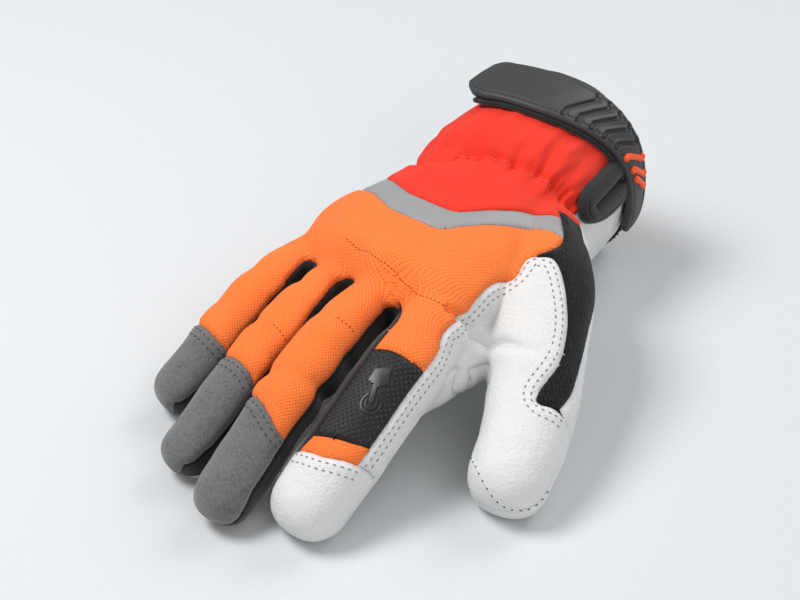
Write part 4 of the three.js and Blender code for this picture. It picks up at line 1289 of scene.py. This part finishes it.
def bands(tree, turn, scale, distortion, detail, fine=1.0):
    """Ribs across the cloth, turned by degrees."""
    inputs = {"Vector": cloth_vector(tree, turn), "Scale": scale, "Distortion": distortion,
              "Detail": detail, "Detail Scale": fine}
    return add(tree, "ShaderNodeTexWave", inputs, wave_type="BANDS", bands_direction="X").outputs["Fac"]


def knitted_mesh(colour, deeper):
    """Polyester mesh, warp knitted: staggered small holes, drawn 1 mm apart so that they show, each darkened
    with painted shade.
    """
    material, tree, surface = blank("knitted_polyester_mesh", 0.85, 0.25, 0.04)
    vector = body_vector(tree)
    inputs = {"Vector": cloth_vector(tree, 45), "Scale": 1.0, "Randomness": 0.12}
    cells = add(tree, "ShaderNodeTexVoronoi", inputs, voronoi_dimensions="2D")
    hole = ranged(tree, cells.outputs["Distance"], 0.1, 0.36, 1.0, 0.0)
    hair = grain(tree, vector, 1.6, 3.0)
    base = mixed(tree, grain(tree, vector, 0.05), deeper, colour)
    yarn = mixed(tree, hair, base, colour)
    # Painted shade: the holes are darkened toward a deep orange, as if shade lay in them.
    final = mixed(tree, worked(tree, "MULTIPLY", hole, 0.42), yarn, linear("#B03A0C"))
    finish_surface(tree, surface, final, worked(tree, "SUBTRACT", hair, hole), 0.7, 0.0003)
    return material


def woven_twill(colour, deeper):
    """Polyester twill, woven: fine diagonal ribs, drawn 0.8 mm apart so that they show, with painted shade in
    the grooves between them.
    """
    material, tree, surface = blank("woven_twill", 0.82, 0.28, 0.04)
    vector = body_vector(tree)
    ribs = bands(tree, 38, 0.4, 0.6, 1.0, 2.0)
    base = mixed(tree, grain(tree, vector, 0.06), deeper, colour)
    # Painted shade: where the ribs are low, in the grooves, the colour darkens toward a deeper red.
    final = mixed(tree, ranged(tree, ribs, to_low=0.4, to_high=0.0), base, linear("#B8221A"))
    finish_surface(tree, surface, final, worked(tree, "ADD", ribs, grain(tree, vector, 2.2)), 0.35, 0.00018)
    return material


def bead_tape(colour):
    """Glass bead tape, coated: an even grey with a faint sparkle and shallow creases."""
    material, tree, surface = blank("glass_bead_tape", 0.42, 0.4)
    vector = body_vector(tree)
    beads = grain(tree, vector, 4.0)
    final = mixed(tree, beads, linear("#8E8E8E"), colour)
    height = worked(tree, "MULTIPLY_ADD", grain(tree, vector, 0.14, 3.0), 2.0, beads)
    finish_surface(tree, surface, final, height, 0.3, 0.0003)
    return material


def goat_leather(colour):
    """Goat leather, tanned white: soft pebbles about 1 mm wide with fine creases, semi matt, with painted
    shade in the grooves between the pebbles.
    """
    material, tree, surface = blank("white_goat_leather", 0.6, 0.35)
    vector = body_vector(tree)
    warp = add(tree, "ShaderNodeTexNoise", {"Vector": vector, "Scale": 0.35, "Detail": 2.0})
    inputs = {0: warp.outputs["Color"], 1: (1.6, 1.6, 1.6), 2: vector}
    pushed = add(tree, "ShaderNodeVectorMath", inputs, operation="MULTIPLY_ADD")
    inputs = {"Vector": pushed.outputs["Vector"], "Scale": 1.05, "Randomness": 0.9}
    pebbles = add(tree, "ShaderNodeTexVoronoi", inputs, feature="SMOOTH_F1").outputs["Distance"]
    creases = grain(tree, vector, 0.22, 5.0, 0.62)
    # Painted shade: the colour darkens toward grey at the pebbles' edges, where the bump is lowest, by an
    # amount that the crease noise varies.
    final = mixed(tree, worked(tree, "MULTIPLY", pebbles, creases), colour, linear("#CFCFCE"))
    rough = worked(tree, "MULTIPLY_ADD", pebbles, -0.55, creases)
    height = worked(tree, "MULTIPLY_ADD", grain(tree, vector, 2.6), 0.22, rough)
    finish_surface(tree, surface, final, height, 0.6, 0.0008)
    return material


def split_suede(colour):
    """Split leather, buffed: a short nap, speckled light and dark grey, no shine."""
    material, tree, surface = blank("buffed_suede", 0.95, 0.1, 0.35, 0.6)
    vector = body_vector(tree)
    nap = grain(tree, vector, 1.1, 4.0, 0.75)
    patch = grain(tree, vector, 0.16)
    base = mixed(tree, ranged(tree, nap, 0.38, 0.62), linear("#3E3E3E"), colour)
    final = mixed(tree, patch, base, linear("#6A6A6A"))
    finish_surface(tree, surface, final, worked(tree, "ADD", nap, patch), 0.5, 0.00035)
    return material


def stretch_knit(colour):
    """Stretch jersey, knitted: smooth black with fine ribs along the finger, about 0.7 mm apart."""
    material, tree, surface = blank("black_stretch_jersey", 0.8, 0.25, 0.25, 0.45)
    ribs = bands(tree, 0, 0.42, 0.8, 1.0)
    fluff = grain(tree, body_vector(tree), 2.0, 3.0)
    final = mixed(tree, ranged(tree, fluff, 0.55, 0.8, to_high=0.55), colour, linear("#3A3A3A"))
    finish_surface(tree, surface, final, worked(tree, "ADD", ribs, fluff), 0.35, 0.0002)
    return material


def rib_knit(colour):
    """Terry rib knit: fuzzy black wales about 1.3 mm apart with pale lint and painted shade between the
    wales.
    """
    material, tree, surface = blank("black_terry_knit", 1.0, 0.05, 0.12)
    wales = bands(tree, -28, 0.23, 5.0, 3.0, 2.0)
    fluff = grain(tree, body_vector(tree), 1.3, 4.0, 0.7)
    # Painted shade: the grooves between the wales are darkened toward near black.
    dim = mixed(tree, wales, linear("#141414"), colour)
    final = mixed(tree, ranged(tree, fluff, 0.52, 0.74, to_high=0.7), dim, linear("#474747"))
    finish_surface(tree, surface, final, worked(tree, "ADD", wales, fluff), 0.4, 0.0004)
    return material


def woven_binding(colour):
    """Woven tape: a close weave of charcoal yarn, drawn 0.8 mm apart so that it shows."""
    material, tree, surface = blank("woven_binding_tape", 0.75, 0.3, 0.15)
    vector = body_vector(tree)
    weave = add(tree, "ShaderNodeTexVoronoi", {"Vector": vector, "Scale": 1.3, "Randomness": 0.5})
    final = mixed(tree, grain(tree, vector, 1.1, 3.0), colour, linear("#242626"))
    finish_surface(tree, surface, final, weave.outputs["Distance"], 0.4, 0.0003)
    return material


def loop_backing(colour):
    """Loop pile: a dense black felt under the strap."""
    material, tree, surface = blank("black_loop_pile", 1.0, 0.05, 0.3)
    pile = grain(tree, body_vector(tree), 1.5, 4.0)
    finish_surface(tree, surface, mixed(tree, pile, colour, linear("#2C2C2C")), pile, 0.6, 0.0004)
    return material


def moulded_rubber(name, colour, dark, roughness):
    """Thermoplastic rubber, injection moulded: an even satin skin with a very fine spark texture."""
    material, tree, surface = blank(name, roughness, 0.42)
    vector = body_vector(tree)
    broad = grain(tree, vector, 0.09, 3.0)
    gloss = ranged(tree, broad, to_low=roughness - 0.08, to_high=roughness + 0.1)
    tree.links.new(gloss, surface.inputs["Roughness"])
    finish_surface(tree, surface, mixed(tree, broad, dark, colour), grain(tree, vector, 3.2), 0.18, 0.0002)
    return material


def thread(name, colour):
    """Sewing thread, twisted polyester with a slight shine and painted shade in the low places of the twist.
    """
    material, tree, surface = blank(name, 0.55, 0.35)
    twist = grain(tree, body_vector(tree), 5.0, 1.0)
    # Painted shade: the low places of the twist take a copy of the colour darkened to three quarters.
    dark = tuple(v * 0.72 for v in colour[:3]) + (1.0,)
    finish_surface(tree, surface, mixed(tree, twist, dark, colour), twist, 0.3, 0.0001)
    return material


# Sizes and colours that a user would change.

def size(name, description, value, low, high):
    return bpy.props.FloatProperty(name=name, description=description, default=value, min=low, max=high)


class GLOVE_PG_sizes(bpy.types.PropertyGroup):
    voxel: size("Skin detail", "Size of the skin's faces, in millimetres", 1.0, 0.6, 3.0)
    fold: size("Folds", "Strength of the folds and gathers", 1.0, 0.0, 2.0)
    seam: size("Seam depth", "How far seams draw the skin in, in millimetres", 0.75, 0.0, 2.0)
    cloth: size("Cloth thickness", "Thickness of fabric panels, in millimetres", 1.3, 0.5, 2.0)
    leather: size("Leather thickness", "Thickness of leather panels, in millimetres", 1.5, 0.5, 2.0)
    stitch: size("Stitch length", "Distance between stitches, in millimetres", 2.6, 1.5, 5.0)


def tint(name, description, value):
    return bpy.props.FloatVectorProperty(
        name=name, description=description, subtype="COLOR", size=4, min=0, max=1, default=linear(value))


class GLOVE_PG_colours(bpy.types.PropertyGroup):
    mesh: tint("Mesh", "Back of the hand", "#FF8440")
    mesh_shade: tint("Mesh shade", "Deeper tone of the mesh", "#FF6C22")
    twill: tint("Twill", "Cuff", "#F23C26")
    twill_shade: tint("Twill shade", "Deeper tone of the cuff", "#E8301C")
    tape: tint("Tape", "Reflective band", "#9A9A9A")
    leather: tint("Leather", "Palm and side", "#DCDCDB")
    suede: tint("Suede", "Fingertip caps", "#707070")
    stretch: tint("Stretch strips", "Between the fingers", "#161616")
    knit: tint("Knit", "Thumb insert", "#222223")
    patch: tint("Patch", "Touch patch", "#131314")
    binding: tint("Binding", "Hem and slit", "#101111")
    backing: tint("Backing", "Under the strap", "#151515")
    strap: tint("Strap", "Moulded strap", "#3A3A3A")
    rib: tint("Ribs", "Bars on the strap", "#FF5A1A")
    dots: tint("Dots", "Raised dots on the patch", "#252527")
    thread: tint("Thread", "Stitches on the leather", "#8C8C8C")
    dark_thread: tint("Dark thread", "Stitches on the bindings", "#0C0C0C")


def props():
    return bpy.context.scene.glove_sizes, bpy.context.scene.glove_colours


class GLOVE_OT_fabric(bpy.types.Operator):
    """Sew the mesh back, the index band, the cuff and the reflective band"""
    bl_idname = "glove.fabric"
    bl_label = "Fabric panels"

    def execute(self, context):
        sizes, colours = props()
        mesh = knitted_mesh(colours.mesh, colours.mesh_shade)
        sew_panel(sizes, "back_mesh", mesh, sizes.cloth)
        sew_panel(sizes, "index_band", mesh, sizes.cloth)
        twill = woven_twill(colours.twill, colours.twill_shade)
        sew_panel(sizes, "cuff_fabric", twill, sizes.cloth)
        sew_panel(sizes, "reflective_tape", bead_tape(colours.tape), sizes.cloth)
        return {"FINISHED"}


class GLOVE_OT_leather(bpy.types.Operator):
    """Sew the leather palm, the leather side and the index cap"""
    bl_idname = "glove.leather"
    bl_label = "Leather panels"

    def execute(self, context):
        sizes, colours = props()
        leather = goat_leather(colours.leather)
        for name in ("palm_leather", "side_leather", "index_cap"):
            sew_panel(sizes, name, leather, sizes.leather)
        return {"FINISHED"}


class GLOVE_OT_suede(bpy.types.Operator):
    """Sew the suede fingertip caps"""
    bl_idname = "glove.suede"
    bl_label = "Suede caps"

    def execute(self, context):
        sizes, colours = props()
        suede = split_suede(colours.suede)
        for name in ("middle_cap", "ring_cap", "little_cap"):
            sew_panel(sizes, name, suede, sizes.leather)
        return {"FINISHED"}


class GLOVE_OT_knit(bpy.types.Operator):
    """Sew the black strips between the fingers, the thumb's knit and the touch patch"""
    bl_idname = "glove.knit"
    bl_label = "Knit panels"

    def execute(self, context):
        sizes, colours = props()
        stretch = stretch_knit(colours.stretch)
        for name in ("index_middle_strip", "middle_ring_strip", "ring_little_strip"):
            sew_panel(sizes, name, stretch, sizes.cloth)
        sew_panel(sizes, "thumb_knit", rib_knit(colours.knit), sizes.cloth)
        patch = moulded_rubber("coated_patch_fabric", colours.patch, linear("#131314"), 0.6)
        sew_panel(sizes, "touch_patch", patch, sizes.cloth)
        return {"FINISHED"}


class GLOVE_OT_patch(bpy.types.Operator):
    """Set the raised dots and the touch symbol on the patch"""
    bl_idname = "glove.patch"
    bl_label = "Patch relief"

    def execute(self, context):
        colours = props()[1]
        silicone = moulded_rubber("moulded_silicone", colours.dots, linear("#222224"), 0.34)
        dots = piece_of(raised_dots(), "patch_dots", silicone)
        symbol = piece_of(symbol_mesh(), "patch_symbol", silicone)
        wall = symbol.modifiers.new("Wall", "SOLIDIFY")
        wall.thickness, wall.offset = 0.45 * MM, 0.6
        return {"FINISHED"}


class GLOVE_OT_binding(bpy.types.Operator):
    """Fold the binding round the hem and round the slit, and lay the strap's backing"""
    bl_idname = "glove.binding"
    bl_label = "Bindings and backing"

    def execute(self, context):
        colours = props()[1]
        tape = woven_binding(colours.binding)
        over_cuff(hem_mesh(), "hem_binding_tape", "hem_binding", tape, 1.2, 0.0)
        over_cuff(loop_mesh(), "slit_binding_tape", "slit_binding", tape, 0.8)
        pile = loop_backing(colours.backing)
        over_cuff(backing_mesh(), "strap_backing_pile", "strap_backing", pile, 1.2)
        return {"FINISHED"}


class GLOVE_OT_strap(bpy.types.Operator):
    """Mould the strap with its grooves and the bars on it"""
    bl_idname = "glove.strap"
    bl_label = "Strap and bars"

    def execute(self, context):
        colours = props()[1]
        rubber = moulded_rubber("moulded_grey_rubber", colours.strap, linear("#383838"), 0.5)
        over_cuff(strap_mesh(), "wrist_strap_moulded", "wrist_strap", rubber, 0)
        orange = moulded_rubber("moulded_orange_rubber", colours.rib, linear("#F04E10"), 0.45)
        for i, (step, size) in enumerate(RIBS):
            node = f"strap_rib_{i + 1}"
            over_cuff(rib_mesh(step, size), node + "_bar", node, orange, 0)
        return {"FINISHED"}


class GLOVE_OT_stitches(bpy.types.Operator):
    """Run the rows of stitches along the seams"""
    bl_idname = "glove.stitches"
    bl_label = "Stitching"

    def execute(self, context):
        sizes, colours = props()
        grey = thread("grey_polyester_thread", colours.thread)
        dark = thread("black_polyester_thread", colours.dark_thread)
        orange = thread("orange_polyester_thread", linear("#A8380C"))
        pitch = sizes.stitch
        thread_piece("leather_stitches", leather_rows(), pitch, pitch * 0.5, 0.55, grey, 0.22)
        charcoal = thread("charcoal_polyester_thread", linear("#3A3A3A"))
        thread_piece("cap_stitches", cap_rows(), pitch, pitch * 0.5, 0.5, charcoal, 0.2)
        thread_piece("quilting_stitches", quilting_rows(), 1.7, 1.0, 0.42, orange, 0.12)
        seam = thumb_seam()
        leather = goat_leather(colours.leather)
        thread_piece("thumb_tip_seam", seam, 0.9, 1.3, 0.8, leather, 0.3)
        thread_piece("thumb_tip_stitches", seam, 2.8, 1.0, 0.5, dark, -0.25)
        loop = spline(np.array(LOOP, float), np.linspace(0, 1, 200))
        turns = SLIT_TURN + (loop[:, 0] - SLIT_TURN) * 0.75
        shares = SLIT_FOOT + (loop[:, 1] - SLIT_FOOT) * 0.96
        height = np.full(200, 2.25)
        cuff_threads("slit_stitches", turns, shares, height, pitch, 1.3, 0.5, dark)
        steps = np.linspace(9.4, -0.6, 200)
        centre, wide, off = strap_row(steps)
        low = centre - (wide * STRAP_WIDTH / 2 - 1.9) / CUFF_LENGTH
        height = STRAP_TOP - 0.15 + off * TAB_RISE
        cuff_threads("strap_stitches", steps * STEP, low, height, pitch, 1.5, 0.45, dark)
        turns = np.linspace(32, 362, 400)
        shares, height = np.full(400, 1 - 5.6 / CUFF_LENGTH), np.full(400, 1.65)
        cuff_threads("hem_stitches", turns, shares, height, pitch, 1.4, 0.45, dark)
        seam = [plan_line([on_hand(a, b) for a, b in GATHER[1:-1]])]
        red = thread("red_polyester_thread", linear("#FF6A4A"))
        thread_piece("gather_stitches", seam, 2.0, 1.3, 0.45, red, 0.1)
        return {"FINISHED"}


# Place in metres, power in watts and size in metres of each soft light.
LIGHTS = {
    "key": ((-0.5, -0.3, 0.95), 10.0, 0.45),
    "fill": ((0.8, -0.5, 0.6), 4.0, 0.8),
    "back": ((0.2, 0.9, 0.8), 6.0, 0.7),
}
# The camera's angles, its distance in metres and the plan point it looks at, in millimetres.
CAMERA_TURN, CAMERA_RISE, CAMERA_FAR = math.radians(35), math.radians(36), 0.745
CAMERA_AIM = (-27.5, -20)


def lay_floor(scene):
    bm = bmesh.new()
    bmesh.ops.create_grid(bm, x_segments=1, y_segments=1, size=3)
    mesh = bpy.data.meshes.new("floor")
    bm.to_mesh(mesh)
    bm.free()
    material, tree, surface = blank("pale_floor", 0.8, 0.2)
    pale = mixed(tree, grain(tree, body_vector(tree), 0.4), linear("#CDD0D2"), linear("#D2D4D6"))
    tree.links.new(pale, surface.inputs["Base Color"])
    mesh.materials.append(material)
    floor = bpy.data.objects.new("floor", mesh)
    scene.collection.objects.link(floor)


def set_lights(scene):
    world = bpy.data.worlds.new("studio")
    world.use_nodes = True
    sky = world.node_tree.nodes["Background"].inputs
    sky["Color"].default_value = linear("#F4F6F8")
    sky["Strength"].default_value = 0.31
    scene.world = world
    for name, (place, power_w, wide) in LIGHTS.items():
        lamp = bpy.data.lights.new(name, "AREA")
        lamp.energy, lamp.size = power_w, wide
        lamp_object = bpy.data.objects.new(name, lamp)
        lamp_object.location = place
        toward = Vector((0, 0, 0.02)) - Vector(place)
        lamp_object.rotation_euler = toward.to_track_quat("-Z", "Y").to_euler()
        scene.collection.objects.link(lamp_object)


def set_camera(scene):
    camera = bpy.data.cameras.new("camera")
    camera.lens, camera.sensor_width = 85.5, 36.0
    camera.clip_start, camera.clip_end = 0.05, 20
    camera_object = bpy.data.objects.new("camera", camera)
    turn, rise = CAMERA_TURN, CAMERA_RISE
    aim = Vector(((CAMERA_AIM[0] + WRIST[0]) * MM, (CAMERA_AIM[1] + WRIST[1]) * MM, 0))
    back = Vector((math.sin(turn) * math.cos(rise), -math.cos(turn) * math.cos(rise), math.sin(rise)))
    camera_object.location = aim + back * CAMERA_FAR
    camera_object.rotation_euler = (-back).to_track_quat("-Z", "Y").to_euler()
    scene.collection.objects.link(camera_object)
    scene.camera = camera_object


class GLOVE_OT_stage(bpy.types.Operator):
    """Lay a pale floor, light it softly and set the camera at the picture's angle"""
    bl_idname = "glove.stage"
    bl_label = "Floor, light and camera"

    def execute(self, context):
        scene = context.scene
        lay_floor(scene)
        set_lights(scene)
        set_camera(scene)
        scene.view_settings.view_transform = "Standard"
        return {"FINISHED"}


class GLOVE_PT_panel(bpy.types.Panel):
    bl_idname = "GLOVE_PT_panel"
    bl_label = "Work glove"
    bl_space_type = "VIEW_3D"
    bl_region_type = "UI"
    bl_category = "Glove"

    def draw(self, context):
        column = self.layout.column()
        for group in (context.scene.glove_sizes, context.scene.glove_colours):
            for key in group.bl_rna.properties.keys():
                if key not in ("rna_type", "name"):
                    column.prop(group, key)
        for operator in OPERATORS:
            column.operator(operator.bl_idname)


OPERATORS = [GLOVE_OT_stage, GLOVE_OT_fabric, GLOVE_OT_leather, GLOVE_OT_suede, GLOVE_OT_knit,
             GLOVE_OT_patch, GLOVE_OT_binding, GLOVE_OT_strap, GLOVE_OT_stitches]
CLASSES = [GLOVE_PG_sizes, GLOVE_PG_colours, *OPERATORS, GLOVE_PT_panel]


def register():
    for cls in CLASSES:
        bpy.utils.register_class(cls)
    bpy.types.Scene.glove_sizes = bpy.props.PointerProperty(type=GLOVE_PG_sizes)
    bpy.types.Scene.glove_colours = bpy.props.PointerProperty(type=GLOVE_PG_colours)


def unregister():
    del bpy.types.Scene.glove_colours
    del bpy.types.Scene.glove_sizes
    for cls in reversed(CLASSES):
        bpy.utils.unregister_class(cls)


def main():
    register()
    for operator in OPERATORS:
        group, name = operator.bl_idname.split(".")
        getattr(getattr(bpy.ops, group), name)()


if __name__ == "__main__":
    main()
